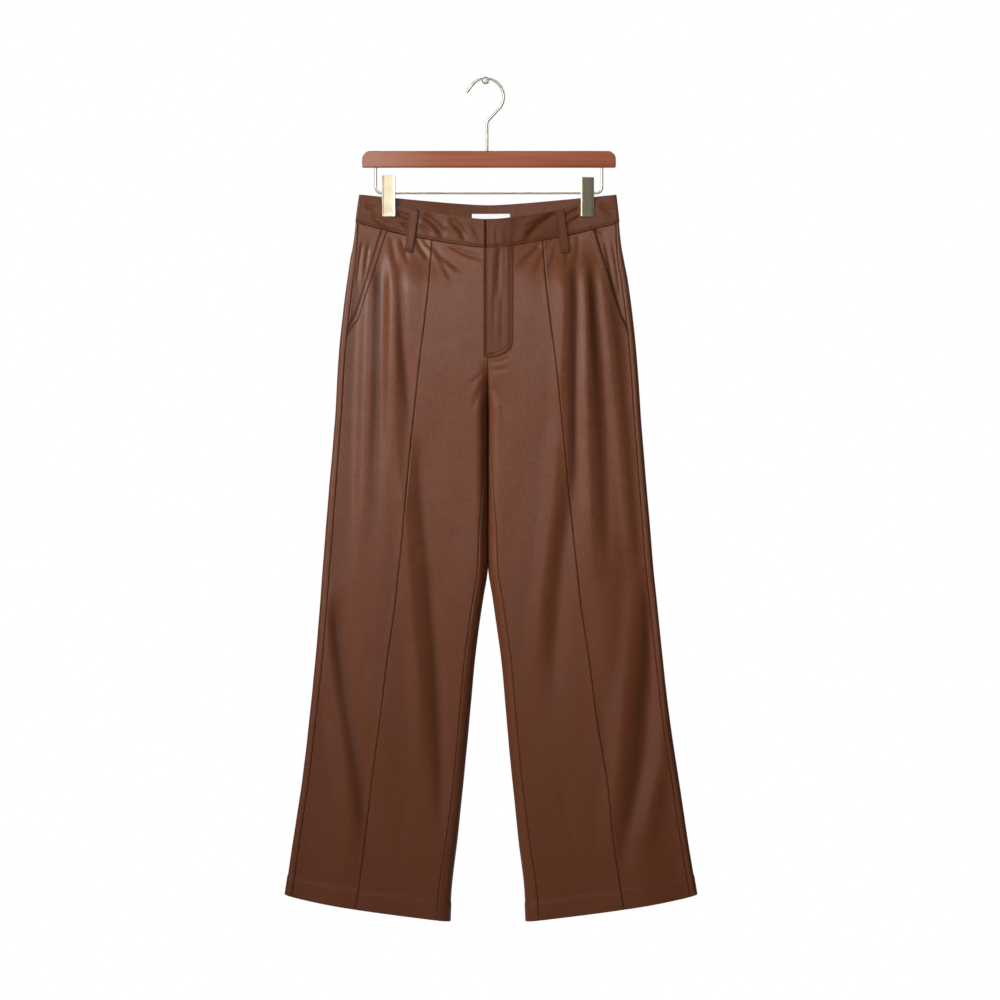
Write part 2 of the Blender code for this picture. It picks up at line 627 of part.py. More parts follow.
def make_waistband():
    """Front left, whose end lies under front right, then front right, then the back."""
    gap = 0.5 * SEAM_GAP
    left_side = outseam_x(-1.0, WAIST_DROP) - gap
    right_side = outseam_x(1.0, WAIST_DROP) - gap
    start, width = TUCK
    tuck = (start + 0.5 * width, start + width, UNDERLAP)
    places = np.concatenate([np.linspace(-left_side, start, 15), tuck])
    points, normals = strip_grid("front", band_lines(-1.0, places))
    tucked = smooth_step((places - start) / width) * (BAND_WALL + 2.0 * SEAM_GAP)
    proud = np.tile(BAND_PROUD - tucked, (BAND_ROWS, 1))
    add_wall("waistband_front_left", points, normals, proud, BAND_WALL)

    places = np.linspace(PLACKET_LEFT, right_side, 17)
    points, normals = strip_grid("front", band_lines(1.0, places))
    add_wall("waistband_front_right", points, normals, BAND_PROUD, BAND_WALL)

    lanes = []
    for side in ("left", "right"):
        half = SIDES[side]
        start = half.seam("outseam", WAIST_DROP) + gap
        runs = stations(start, half.seam("total", WAIST_DROP), NEAR_BAND_END, 12, (0.0,))
        lane = [back_band_column(half, run) for run in runs]
        lanes += lane[:-1] if side == "left" else lane[::-1]
    points = np.array([[lane[row][0] for lane in lanes] for row in range(BAND_ROWS)])
    normals = np.array([[lane[row][1] for lane in lanes] for row in range(BAND_ROWS)])
    add_wall("waistband_back", points, normals, BAND_PROUD, BAND_WALL)


def back_band_column(half, run):
    """Points down the back band, at one length round from the front."""
    face = half.face_of(run)
    x = half.at(WAIST_DROP, run)[0]
    top = float(edge_drop(BAND_TOP[face], x))
    bottom = float(edge_drop(BAND_SEAM[face], x)) - 0.5 * SEAM_GAP
    spots = []
    for drop in np.linspace(top, bottom, BAND_ROWS):
        shift = half.seam("outseam", drop) - half.seam("outseam", WAIST_DROP)
        place = min(run + shift, half.seam("total", drop))
        spots.append((half.at(drop, place), half.normal(drop, place)))
    return spots


def make_label():
    """A bare woven label, sewn inside the back of the band."""
    lines = [[(x, drop) for x in np.linspace(*LABEL_X, 6)] for drop in np.linspace(*LABEL_DROP, 3)]
    points, normals = strip_grid("back", lines)
    add_wall("inner_label", points, normals, BAND_PROUD - BAND_WALL - 2.0 * SEAM_GAP, STRIP_WALL, "label")


BELT_LOOPS = {
    "belt_loop_front_left": ("front", -0.1075, -0.1165),
    "belt_loop_front_right": ("front", 0.1045, 0.1130),
    "belt_loop_back_left": ("back", -0.0850, -0.0870),
    "belt_loop_back_centre": ("back", 0.0000, 0.0000),
    "belt_loop_back_right": ("back", 0.0850, 0.0870),
}


def make_belt_loops():
    for name, (face, top_x, bottom_x) in BELT_LOOPS.items():
        lines, proud = [], []
        for share in np.linspace(0.0, 1.0, LOOP_ROWS):
            centre = top_x + (bottom_x - top_x) * share
            line = []
            for across in (-0.5, 0.0, 0.5):
                x = centre + across * LOOP_WIDTH
                top = float(edge_drop(BAND_TOP[face], x)) - LOOP_OVER_TOP
                bottom = float(edge_drop(BAND_SEAM[face], x)) + LOOP_BELOW_SEAM
                line.append((x, top + (bottom - top) * share))
            lines.append(line)
            bulge = LOOP_BULGE * math.sin(math.pi * share)
            proud.append([BAND_PROUD + 2.0 * SEAM_GAP + LOOP_WALL + bulge] * 3)
        points, normals = strip_grid(face, lines)
        add_wall(name, points, normals, np.array(proud), LOOP_WALL)


# ---- hanger -------------------------------------------------------------------------------

def make_wire(name, points, finish, on_centre_line=True):
    curve = bpy.data.curves.new(name, "CURVE")
    curve.dimensions = "3D"
    curve.twist_mode = "MINIMUM"
    curve.bevel_depth = WIRE_RADIUS
    curve.bevel_resolution = 2
    curve.use_fill_caps = True
    spline = curve.splines.new("POLY")
    spline.points.add(len(points) - 1)
    for spot, (x, z) in zip(spline.points, points):
        spot.co = (x, 0.0, z, 1.0)
    return add_object(name, curve, finish, on_centre_line)


def arc(centre, radius, start, end, count):
    angles = np.radians(np.linspace(start, end, count))
    return [(centre[0] + radius * math.cos(a), centre[1] + radius * math.sin(a)) for a in angles]


def make_hook():
    """From the tip over the crown and round, then back under to the stem in the bar."""
    middle = (0.0, WIRE_RADIUS - HOOK_RADIUS)
    neck = [(0.0112, -0.0528), (0.0072, -0.0560), (0.0046, -0.0600)]
    stem = [(CENTRE_X, z) for z in (-0.0650, -0.0850, BAR_TOP - STEM_DEPTH)]
    make_wire("hook", arc(middle, HOOK_RADIUS, 168.0, -58.0, 26) + neck + stem, "wire", False)


def make_rod():
    """The U-shaped rod that carries the clips, both ends in the bar."""
    top = BAR_TOP - BAR_HEIGHT + STEM_DEPTH
    inset = ROD_HALF - ROD_BEND
    left = arc((-inset, ROD_Z + ROD_BEND), ROD_BEND, 180.0, 270.0, 6)
    right = arc((inset, ROD_Z + ROD_BEND), ROD_BEND, 270.0, 360.0, 6)
    make_wire("clip_rod", [(-ROD_HALF, top)] + left + right + [(ROD_HALF, top)], "wire")


def bar_outline():
    """The bar from the front: round top corners, nearly square bottom ones."""
    half, top, bottom = 0.5 * BAR_LENGTH, BAR_TOP, BAR_TOP - BAR_HEIGHT
    outline = arc((half - BAR_CORNER, top - BAR_CORNER), BAR_CORNER, 0.0, 90.0, 7)
    outline += arc((BAR_CORNER - half, top - BAR_CORNER), BAR_CORNER, 90.0, 180.0, 7)
    outline += arc((BAR_EDGE - half, bottom + BAR_EDGE), BAR_EDGE, 180.0, 270.0, 3)
    outline += arc((half - BAR_EDGE, bottom + BAR_EDGE), BAR_EDGE, 270.0, 360.0, 3)
    return outline


def extruded(name, outline, axis, width):
    """A flat outline given width along X or Y, centred on that axis's plane."""
    build = bmesh.new()
    if axis == "Y":
        corners = [build.verts.new((a, -0.5 * width, b)) for a, b in outline]
        push = (0.0, width, 0.0)
    else:
        corners = [build.verts.new((-0.5 * width, a, b)) for a, b in outline]
        push = (width, 0.0, 0.0)
    face = build.faces.new(corners)
    grown = bmesh.ops.extrude_face_region(build, geom=[face])
    moved = [item for item in grown["geom"] if isinstance(item, bmesh.types.BMVert)]
    bmesh.ops.translate(build, verts=moved, vec=push)
    mesh = bpy.data.meshes.new(name)
    finish_mesh(build, mesh)
    return mesh


def add_bevel(item, width, segments, angle):
    bevel = item.modifiers.new("soft_edges", "BEVEL")
    bevel.width = width
    bevel.segments = segments
    bevel.limit_method = "ANGLE"
    bevel.angle_limit = math.radians(angle)


def make_bar():
    bar = add_object("hanger_bar", extruded("hanger_bar", bar_outline(), "Y", BAR_DEPTH), "wood")
    add_bevel(bar, BAR_BEVEL, 2, 60.0)
    bottom = BAR_TOP - BAR_HEIGHT
    bores = {
        "stem_bore": (0.0, 0.0, BAR_TOP),
        "rod_bore_left": (-ROD_HALF, 0.0, bottom),
        "rod_bore_right": (ROD_HALF, 0.0, bottom),
    }
    for name, centre in bores.items():
        depth = 2.0 * (STEM_DEPTH + BORE_SPARE)
        bpy.ops.mesh.primitive_cylinder_add(vertices=12, radius=WIRE_BORE, depth=depth, location=centre)
        cutter = bpy.context.object
        cutter.name = name
        for collection in list(cutter.users_collection):
            collection.objects.unlink(cutter)
        CUTTERS.objects.link(cutter)
        cutter.parent = HANGING_LINE
        cutter.hide_render = True
        cutter.display_type = "WIRE"
        cut = bar.modifiers.new(name, "BOOLEAN")
        cut.operation = "DIFFERENCE"
        cut.object = cutter


def bent_sheet(spine, thickness):
    """The outline of a bent sheet, from the points along its middle."""
    spine = np.array(spine)
    ahead = np.gradient(spine, axis=0)
    ahead /= np.linalg.norm(ahead, axis=1, keepdims=True)
    off = np.stack([-ahead[:, 1], ahead[:, 0]], axis=1) * 0.5 * thickness
    return [tuple(point) for point in np.concatenate([spine + off, (spine - off)[::-1]])]


# One jaw from its finger tab down to its lip: distance from the clips' plane, height over the rod.
JAW_SPINE = (
    (0.0108, 0.0257),
    (0.0098, 0.0190),
    (0.0066, 0.0080),
    (0.0050, 0.0035),
    (0.0046, -0.0020),
    (0.0052, -0.0080),
    (0.0060, -0.0150),
    (0.0056, -0.0230),
    (0.0046, -0.0300),
    (0.0052, -0.0355),
)


def make_clips():
    """Two clips: a front and a back jaw each, either side of a sleeve that slides on the rod."""
    for name, side in (("left", -1.0), ("right", 1.0)):
        for face, turn in (("front", -1.0), ("back", 1.0)):
            outline = bent_sheet([(turn * y, z) for y, z in JAW_SPINE], JAW_SHEET)
            title = f"clip_{name}_{face}_jaw"
            jaw = add_object(title, extruded(title, outline, "X", CLIP_WIDTH), "clip")
            jaw.location = (side * CLIP_X, 0.0, ROD_Z)
            jaw.rotation_euler = (0.0, 0.0, side * CLIP_YAW)
            add_bevel(jaw, JAW_BEVEL, 1, 60.0)
        sleeve = turned(f"clip_{name}_sleeve", sleeve_profile(), "wire", 14, closed=True)
        sleeve.location = (side * CLIP_X, 0.0, ROD_Z)
        sleeve.rotation_euler = (0.0, 0.5 * math.pi, 0.0)


def sleeve_profile():
    half = 0.5 * SLEEVE_LENGTH
    return [(SLEEVE_RADIUS, half), (SLEEVE_RADIUS, -half), (WIRE_BORE, -half), (WIRE_BORE, half)]


def turned(name, profile, finish, steps, closed=False, on_centre_line=True):
    """A profile of (radius, height) points turned about Z, running down its outer side."""
    mesh = bpy.data.meshes.new(name)
    count = len(profile)
    edges = [(k, k + 1) for k in range(count - 1)] + ([(count - 1, 0)] if closed else [])
    mesh.from_pydata([(radius, 0.0, height) for radius, height in profile], edges, [])
    item = add_object(name, mesh, finish, on_centre_line)
    screw = item.modifiers.new("turned", "SCREW")
    screw.steps = steps
    screw.render_steps = steps
    screw.use_merge_vertices = True
    screw.merge_threshold = 0.00001
    return item


def make_pin():
    """The wall pin: a domed head in front of the hook, and a shank back to the wall."""
    front = PIN_NECK + PIN_HEAD_THICKNESS
    profile = [
        (0.0, front + 0.0006),
        (0.0028, front + 0.0004),
        (0.0046, front),
        (PIN_HEAD_RADIUS, front - 0.0008),
        (PIN_HEAD_RADIUS, PIN_NECK + 0.0004),
        (0.0048, PIN_NECK),
        (PIN_RADIUS, PIN_NECK),
        (PIN_RADIUS, -WALL_Y),
        (0.0, -WALL_Y),
    ]
    pin = turned("wall_pin", profile, "wire", 20, on_centre_line=False)
    pin.location = (0.0, 0.0, -(PIN_RADIUS + SEAM_GAP))
    pin.rotation_euler = (0.5 * math.pi, 0.0, 0.0)


make_panels()
make_hems()
make_pockets()
make_fly()
make_waistband()
make_label()
make_belt_loops()
make_hook()
make_rod()
make_bar()
make_clips()
make_pin()
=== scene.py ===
import math
import random

import bmesh
import bpy
import numpy as np
from mathutils import Matrix, Vector


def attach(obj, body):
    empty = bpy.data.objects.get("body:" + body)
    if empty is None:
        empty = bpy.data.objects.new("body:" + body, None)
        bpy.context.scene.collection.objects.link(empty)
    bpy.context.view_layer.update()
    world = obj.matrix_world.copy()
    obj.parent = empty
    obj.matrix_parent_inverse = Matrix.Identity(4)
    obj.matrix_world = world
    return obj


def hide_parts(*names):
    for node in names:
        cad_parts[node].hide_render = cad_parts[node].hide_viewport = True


# Faux leather trousers on a wooden clip hanger, hung from a wall pin. Metres, front towards -Y.
# A "drop" is a distance below the point where the hook rests on the pin.

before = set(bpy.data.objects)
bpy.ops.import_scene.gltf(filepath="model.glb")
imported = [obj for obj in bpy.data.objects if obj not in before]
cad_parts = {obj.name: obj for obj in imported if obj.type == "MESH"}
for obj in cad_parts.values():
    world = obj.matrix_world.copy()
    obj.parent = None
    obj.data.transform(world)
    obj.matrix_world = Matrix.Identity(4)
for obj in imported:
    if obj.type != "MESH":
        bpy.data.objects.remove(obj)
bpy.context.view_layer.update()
random.seed(11)
print("hanger and trousers loaded")

# camera, light and floor
studio = {
    "cameraPlace": (0.0211, -5.0, -0.618),
    "lens": 122.4,
    "roomLight": 0.049,
    "keyPlace": (-2.3, -2.3, 0.75),
    "keyAim": (0.15, 0.0, -0.30),
    "keySize": (1.5, 1.7),
    "keyPower": 9.7,
    "keyBeam": 42.0,
    "frontPlace": (-0.35, -3.9, 0.30),
    "frontAim": (0.0, 0.0, -0.27),
    "frontSize": (1.1, 1.3),
    "frontPower": 2.6,
    "frontBeam": 38.0,
    "fillPlace": (2.5, -2.4, 0.5),
    "fillAim": (0.0, 0.0, -0.6),
    "fillSize": (1.6, 2.2),
    "fillPower": 7.4,
    "backPlace": (1.6, 2.8, 1.0),
    "backPower": 64.0,
    "floorPlace": (0.0, 1.9, 2.6),
    "floorAim": (0.0, 1.5, -1.75),
    "floorPower": 60.0,
    "floorDrop": 1.75,
    "floorRadius": 2.4,
}


def deselectAll():
    for item in bpy.context.selected_objects:
        item.select_set(False)


def addLight(name, place, aim, size, power, beam=180.0):
    lamp = bpy.data.lights.new(name, "AREA")
    lamp.spread = math.radians(beam)
    lamp.shape = "RECTANGLE"
    lamp.size, lamp.size_y = size
    lamp.energy = power
    item = bpy.data.objects.new(name, lamp)
    bpy.context.scene.collection.objects.link(item)
    item.location = place
    item.rotation_euler = (Vector(aim) - Vector(place)).to_track_quat("-Z", "Y").to_euler()
    item.visible_camera = False
    return item


def setStudio():
    camera = bpy.data.cameras.new("studioCamera")
    camera.lens = studio["lens"]
    camera.sensor_width = 36.0
    camera.clip_end = 60.0
    holder = bpy.data.objects.new("studioCamera", camera)
    bpy.context.scene.collection.objects.link(holder)
    holder.location = studio["cameraPlace"]
    holder.rotation_euler = (math.radians(90.0), 0.0, 0.0)
    bpy.context.scene.camera = holder
    bpy.context.scene.view_settings.view_transform = "Standard"

    for name in ("key", "front"):
        place, aim, size = (studio[name + part] for part in ("Place", "Aim", "Size"))
        addLight(name + "Softbox", place, aim, size, studio[name + "Power"], studio[name + "Beam"])
    addLight("fillSoftbox", studio["fillPlace"], studio["fillAim"], studio["fillSize"], studio["fillPower"])
    addLight("backSoftbox", studio["backPlace"], studio["fillAim"], (2.4, 2.0), studio["backPower"])
    addLight("floorSoftbox", studio["floorPlace"], studio["floorAim"], (2.4, 1.6), studio["floorPower"], 70.0)

    room = bpy.data.worlds.new("paleRoom")  # white to the camera, softer as a light
    bpy.context.scene.world = room
    room.use_nodes = True
    tree = room.node_tree
    tree.nodes.clear()
    out = tree.nodes.new("ShaderNodeOutputWorld")
    mix = tree.nodes.new("ShaderNodeMixShader")
    rays = tree.nodes.new("ShaderNodeLightPath")
    seen = tree.nodes.new("ShaderNodeBackground")
    felt = tree.nodes.new("ShaderNodeBackground")
    seen.inputs["Color"].default_value = (1.0, 1.0, 1.0, 1.0)
    felt.inputs["Color"].default_value = (1.0, 0.985, 0.965, 1.0)
    felt.inputs["Strength"].default_value = studio["roomLight"]
    tree.links.new(rays.outputs["Is Camera Ray"], mix.inputs["Fac"])
    tree.links.new(felt.outputs[0], mix.inputs[1])
    tree.links.new(seen.outputs[0], mix.inputs[2])
    tree.links.new(mix.outputs[0], out.inputs["Surface"])

    deselectAll()
    bpy.ops.mesh.primitive_circle_add(
        vertices=96, radius=studio["floorRadius"], fill_type="NGON", location=(0.0, 0.0, -studio["floorDrop"]))
    floor = bpy.context.object
    floor.name = "studioFloor"
    paint = bpy.data.materials.new("palePaint")
    paint.use_nodes = True
    paint.node_tree.nodes["Principled BSDF"].inputs["Base Color"].default_value = (0.82, 0.82, 0.81, 1.0)
    paint.node_tree.nodes["Principled BSDF"].inputs["Roughness"].default_value = 0.9
    paint.node_tree.nodes["Principled BSDF"].inputs["Emission Color"].default_value = (0.60, 0.60, 0.59, 1.0)
    seen = paint.node_tree.nodes.new("ShaderNodeLightPath")  # pale to the camera, without lighting the cloth
    paint.node_tree.links.new(seen.outputs["Is Camera Ray"], paint.node_tree.nodes["Principled BSDF"].inputs["Emission Strength"])
    floor.data.materials.append(paint)


setStudio()
print("camera, softboxes and floor set")


# the form of the garment: level sections, and edges that run across it
trousers = {
    "centreX": 0.0035,
    "leather": 0.0012,
    "seamGap": 0.0001,
    "innerRound": 0.0190,
    "crotchDrop": 0.5150,
    "valleyDrop": 0.4000,
    "waistDrop": 0.2150,
    "drapeLength": 0.1000,
    "hipLine": 0.2950,
    "calfLine": 1.1200,
    "clipReach": 0.1350,
    "bow": {"front": 0.0180, "back": 0.0090},
    "swellFromSide": (0.0120, 0.0780),
    "deepestBack": 0.0235,
    "pocketTop": (0.2198, 0.1555),
    "pocketLean": 0.311,
    "bandHalfWidth": 0.1930,
    "bandTop": {"front": (0.2063, 0.1695, 1.4), "back": (0.1837, 0.1688, 1.3)},
    "bandSeam": {"front": (0.2474, 0.2101, 1.3), "back": (0.2263, 0.2101, 1.3)},
    "hemSide": 1.1973,
    "hemInner": 1.2370,
    "hemPower": 0.74,
    "columns": ("drop", "left", "right", "inner", "legSeam", "edge", "front", "back"),
    "sections": (
        (0.1600, 0.1880, 0.1875, -0.0001, 0.0785, 0.0026, 0.0160, 0.0100),
        (0.2095, 0.1950, 0.1930, -0.0001, 0.0812, 0.0026, 0.0160, 0.0100),
        (0.2359, 0.1975, 0.1950, -0.0001, 0.0820, 0.0030, 0.0195, 0.0120),
        (0.2653, 0.2029, 0.2000, -0.0001, 0.0838, 0.0038, 0.0225, 0.0140),
        (0.2947, 0.2073, 0.2058, -0.0001, 0.0857, 0.0046, 0.0245, 0.0155),
        (0.3535, 0.2146, 0.2135, -0.0001, 0.0921, 0.0056, 0.0262, 0.0168),
        (0.4123, 0.2203, 0.2195, -0.0001, 0.0995, 0.0060, 0.0258, 0.0172),
        (0.4950, 0.2252, 0.2250, -0.0004, 0.1085, 0.0060, 0.0232, 0.0168),
        (0.5350, 0.2283, 0.2283, -0.0008, 0.1125, 0.0060, 0.0218, 0.0162),
        (0.6181, 0.2352, 0.2352, -0.0008, 0.1202, 0.0060, 0.0198, 0.0150),
        (0.7000, 0.2418, 0.2420, -0.0008, 0.1285, 0.0060, 0.0184, 0.0138),
        (0.7230, 0.2437, 0.2440, 0.0003, 0.1313, 0.0060, 0.0181, 0.0134),
        (0.7651, 0.2470, 0.2484, 0.0070, 0.1350, 0.0060, 0.0175, 0.0128),
        (0.8533, 0.2543, 0.2573, 0.0191, 0.1473, 0.0060, 0.0166, 0.0115),
        (0.9415, 0.2631, 0.2675, 0.0272, 0.1580, 0.0060, 0.0158, 0.0102),
        (1.0297, 0.2734, 0.2808, 0.0353, 0.1704, 0.0060, 0.0151, 0.0093),
        (1.1179, 0.2867, 0.2940, 0.0448, 0.1800, 0.0060, 0.0145, 0.0087),
        (1.1958, 0.2984, 0.3072, 0.0537, 0.1905, 0.0060, 0.0140, 0.0085),
        (1.2470, 0.3060, 0.3158, 0.0557, 0.1990, 0.0060, 0.0140, 0.0085),
    ),
    # drop, and how far the side seam and the inside leg seam lie from their folds
    "insets": (
        (0.1600, 0.0050, 0.0000),
        (0.2150, 0.0050, 0.0000),
        (0.2850, 0.0098, 0.0000),
        (0.5250, 0.0100, 0.0000),
        (0.5600, 0.0102, 0.0040),
        (0.7060, 0.0110, 0.0147),
        (1.0000, 0.0103, 0.0147),
        (1.2470, 0.0110, 0.0200),
    ),
}

# long soft folds: width and height of a ridge (+) or trough (-), then its (drop, x) points downwards
folds = {
    "strength": {"front": 1.35, "back": 1.55},
    "fade": 0.0700,
    "clear": 0.0180,
    "open": 0.0200,
    "front": (
        (0.0105, 0.0028, ((0.232, -0.170), (0.300, -0.1755), (0.383, -0.179), (0.471, -0.181), (0.618, -0.184), (0.740, -0.188))),
        (0.0100, -0.0016, ((0.236, -0.156), (0.324, -0.1558), (0.430, -0.1578), (0.600, -0.160))),
        (0.0104, -0.0013, ((0.236, -0.156), (0.324, -0.1560), (0.430, -0.1585), (0.540, -0.160), (0.740, -0.163))),
        (0.0095, 0.0014, ((0.226, -0.143), (0.324, -0.1415), (0.471, -0.1390), (0.545, -0.136), (0.680, -0.126))),
        (0.0120, 0.0024, ((0.560, -0.130), (0.618, -0.125), (0.690, -0.120), (0.765, -0.115), (0.880, -0.104), (1.040, -0.096))),
        (0.0090, -0.0024, ((0.245, -0.131), (0.324, -0.1255), (0.383, -0.1240), (0.471, -0.1160), (0.560, -0.108))),
        (0.0130, -0.0024, ((0.500, -0.104), (0.618, -0.0960), (0.690, -0.0880), (0.765, -0.0820), (0.880, -0.0730), (1.140, -0.062))),
        (0.0140, -0.0012, ((0.700, -0.090), (0.820, -0.0790), (0.940, -0.0720), (1.120, -0.070))),
        (0.0090, 0.0012, ((0.236, -0.112), (0.300, -0.1060), (0.360, -0.1050))),
        (0.0150, -0.0031, ((0.740, -0.226), (0.797, -0.2220), (0.897, -0.2050), (0.981, -0.1930), (1.070, -0.1820), (1.170, -0.172))),
        (0.0150, 0.0028, ((0.720, -0.240), (0.797, -0.2390), (0.897, -0.2310), (0.981, -0.2180), (1.070, -0.2050), (1.180, -0.194))),
        (0.0170, 0.0012, ((0.860, -0.168), (0.960, -0.1560), (1.100, -0.150))),
        (0.0100, 0.0022, ((0.236, 0.104), (0.324, 0.1100), (0.471, 0.1045), (0.560, 0.0990))),
        (0.0130, 0.0022, ((0.480, 0.1035), (0.618, 0.0955), (0.765, 0.0765), (0.900, 0.068))),
        (0.0096, -0.0034, ((0.232, 0.128), (0.324, 0.1315), (0.400, 0.1312), (0.471, 0.1300), (0.640, 0.1290))),
        (0.0140, -0.0022, ((0.540, 0.127), (0.618, 0.1220), (0.700, 0.1100), (0.800, 0.1010), (0.940, 0.092))),
        (0.0095, 0.0021, ((0.226, 0.140), (0.324, 0.1426), (0.400, 0.1438), (0.471, 0.1448), (0.618, 0.1490), (0.760, 0.153))),
        (0.0095, -0.0019, ((0.240, 0.152), (0.324, 0.1573), (0.400, 0.1632), (0.471, 0.1678), (0.618, 0.1730), (0.760, 0.178))),
        (0.0110, 0.0026, ((0.236, 0.164), (0.324, 0.1735), (0.400, 0.1825), (0.471, 0.1900), (0.618, 0.2020), (0.765, 0.216))),
        (0.0150, -0.0031, ((0.700, 0.246), (0.783, 0.2455), (0.860, 0.2380), (1.000, 0.2250), (1.130, 0.2000), (1.200, 0.190))),
        (0.0160, 0.0025, ((0.700, 0.216), (0.783, 0.2146), (0.860, 0.2073), (0.960, 0.1955), (1.110, 0.1780), (1.190, 0.170))),
        (0.0130, 0.0020, ((0.900, 0.262), (1.000, 0.2560), (1.080, 0.2380), (1.180, 0.222))),
    ),
    "back": (
        (0.0120, 0.0028, ((0.240, -0.148), (0.400, -0.152), (0.620, -0.168))),
        (0.0120, -0.0030, ((0.235, -0.122), (0.400, -0.118), (0.650, -0.110))),
        (0.0140, 0.0018, ((0.250, -0.098), (0.400, -0.094), (0.560, -0.090))),
        (0.0140, -0.0028, ((0.470, -0.030), (0.530, -0.070), (0.590, -0.120))),
        (0.0150, -0.0026, ((0.640, -0.196), (0.820, -0.208), (1.020, -0.222))),
        (0.0160, 0.0022, ((0.800, -0.130), (0.950, -0.152), (1.120, -0.188))),
        (0.0170, -0.0018, ((0.720, -0.098), (0.880, -0.110), (1.060, -0.122))),
        (0.0120, 0.0026, ((0.240, 0.144), (0.380, 0.150), (0.580, 0.160))),
        (0.0130, -0.0030, ((0.240, 0.116), (0.420, 0.113), (0.680, 0.104))),
        (0.0140, 0.0016, ((0.260, 0.092), (0.420, 0.088), (0.600, 0.084))),
        (0.0140, -0.0026, ((0.475, 0.034), (0.540, 0.078), (0.610, 0.132))),
        (0.0150, -0.0028, ((0.600, 0.200), (0.780, 0.206), (0.980, 0.226))),
        (0.0150, 0.0022, ((0.860, 0.136), (1.000, 0.160), (1.160, 0.196))),
        (0.0170, -0.0016, ((0.700, 0.096), (0.900, 0.112), (1.080, 0.126))),
    ),
}


def smoothStep(value):
    t = np.clip(value, 0.0, 1.0)
    return t * t * (3.0 - 2.0 * t)


def roundOff(distance, radius):
    t = 1.0 - np.clip(distance / radius, 0.0, 1.0)
    return np.sqrt(1.0 - t * t)


def throughTable(table, index, drop):  # a smooth curve through one column, without overshoot
    at = np.array([row[0] for row in table])
    value = np.array([row[index] for row in table])
    step = np.diff(at)
    slope = np.diff(value) / step
    rising = slope[:-1] * slope[1:] > 1e-12
    before = np.where(rising, slope[:-1], 1.0)
    after = np.where(rising, slope[1:], 1.0)
    inner = np.where(rising, 2.0 / (1.0 / before + 1.0 / after), 0.0)
    tangent = np.concatenate([slope[:1], inner, slope[-1:]])
    drop = np.clip(drop, at[0], at[-1])
    k = np.clip(np.searchsorted(at, drop) - 1, 0, len(step) - 1)
    t = (drop - at[k]) / step[k]
    rise = value[k + 1] - value[k]
    bend = t * (1.0 - t) * step[k] * (tangent[k] * (1.0 - t) - tangent[k + 1] * t)
    return value[k] + rise * t * t * (3.0 - 2.0 * t) + bend


def section(name, drop):
    return throughTable(trousers["sections"], trousers["columns"].index(name), np.asarray(drop, float))


def inset(name, drop):
    return throughTable(trousers["insets"], {"outseam": 1, "inseam": 2}[name], np.asarray(drop, float))


def foldRelief(face, x, drop):
    relief = 0.0
    for width, depth, path in folds[face]:
        drops, places = zip(*path)
        centre = np.interp(drop, drops, places)
        ends = smoothStep((drop - drops[0]) / folds["fade"]) * smoothStep((drops[-1] - drop) / (2.0 * folds["fade"]))
        relief = relief + depth * ends * np.exp(-(((x - centre) / width) ** 2))
    return relief * folds["strength"][face]


def sideAt(x, drop):
    return np.where(np.asarray(x) < 0.0, section("left", drop), section("right", drop))


def depthAt(face, x, drop, across=None):  # how far the cloth's outside lies before or behind the clips' plane
    across = np.abs(x) if across is None else across
    edge = section("edge", drop)
    fromSide = sideAt(x, drop) - across
    fromInner = np.maximum(across - section("inner", drop), 0.0)
    span = trousers["crotchDrop"] - trousers["valleyDrop"]
    centre = 1.0 - smoothStep((drop - trousers["valleyDrop"]) / span)
    rim = edge * roundOff(fromSide, edge)
    towardsClip = np.clip(across / trousers["clipReach"], 0.0, 1.0)
    bow = trousers["bow"][face] * np.cos(0.5 * math.pi * towardsClip) ** 2
    start, reach = trousers["swellFromSide"]
    swell = smoothStep((fromSide - start) / reach)
    body = rim + (section(face, drop) - edge) * swell
    clear = smoothStep(fromSide / folds["clear"])
    clear = clear * smoothStep((fromInner + folds["open"] * centre) / folds["clear"])
    body = body + foldRelief(face, x, drop) * clear
    body = body * (centre + (1.0 - centre) * roundOff(fromInner, trousers["innerRound"]))
    drape = smoothStep((drop - trousers["waistDrop"]) / trousers["drapeLength"])
    total = (rim + bow) * (1.0 - drape) + body * drape
    return np.minimum(total, trousers["deepestBack"]) if face == "back" else total


def facePoint(face, x, drop):
    y = depthAt(face, x, drop)
    return np.stack([x, -y if face == "front" else y, -drop], axis=-1)


def faceNormal(face, x, drop):
    e = 0.0005
    byX = (depthAt(face, x + e, drop) - depthAt(face, x - e, drop)) / (2.0 * e)
    byDrop = (depthAt(face, x, drop + e) - depthAt(face, x, drop - e)) / (2.0 * e)
    normal = np.stack([-byX, np.full_like(byX, -1.0 if face == "front" else 1.0), byDrop], axis=-1)
    return normal / np.linalg.norm(normal, axis=-1, keepdims=True)


def edgeDrop(edge, x):
    centre, side, power = edge
    share = np.clip(np.abs(x) / trousers["bandHalfWidth"], 0.0, 1.0)
    share = (np.sqrt(share ** 2 + 0.0016) - 0.04) / (math.sqrt(1.0016) - 0.04)  # no corner at the middle
    return centre + (side - centre) * share ** power


# one leg and half of the seat as rings: from the centre or inner leg across the front, round the
# side, across the back and, below the crotch, closed at the inner leg
pockets = {"welt": 0.0080, "weltWall": 0.0010, "foot": 0.3765, "rows": 120, "bearerColumns": 40}
rings = {"top": 0.1630, "step": 0.0020, "count": 543, "points": 220, "samples": 1800}


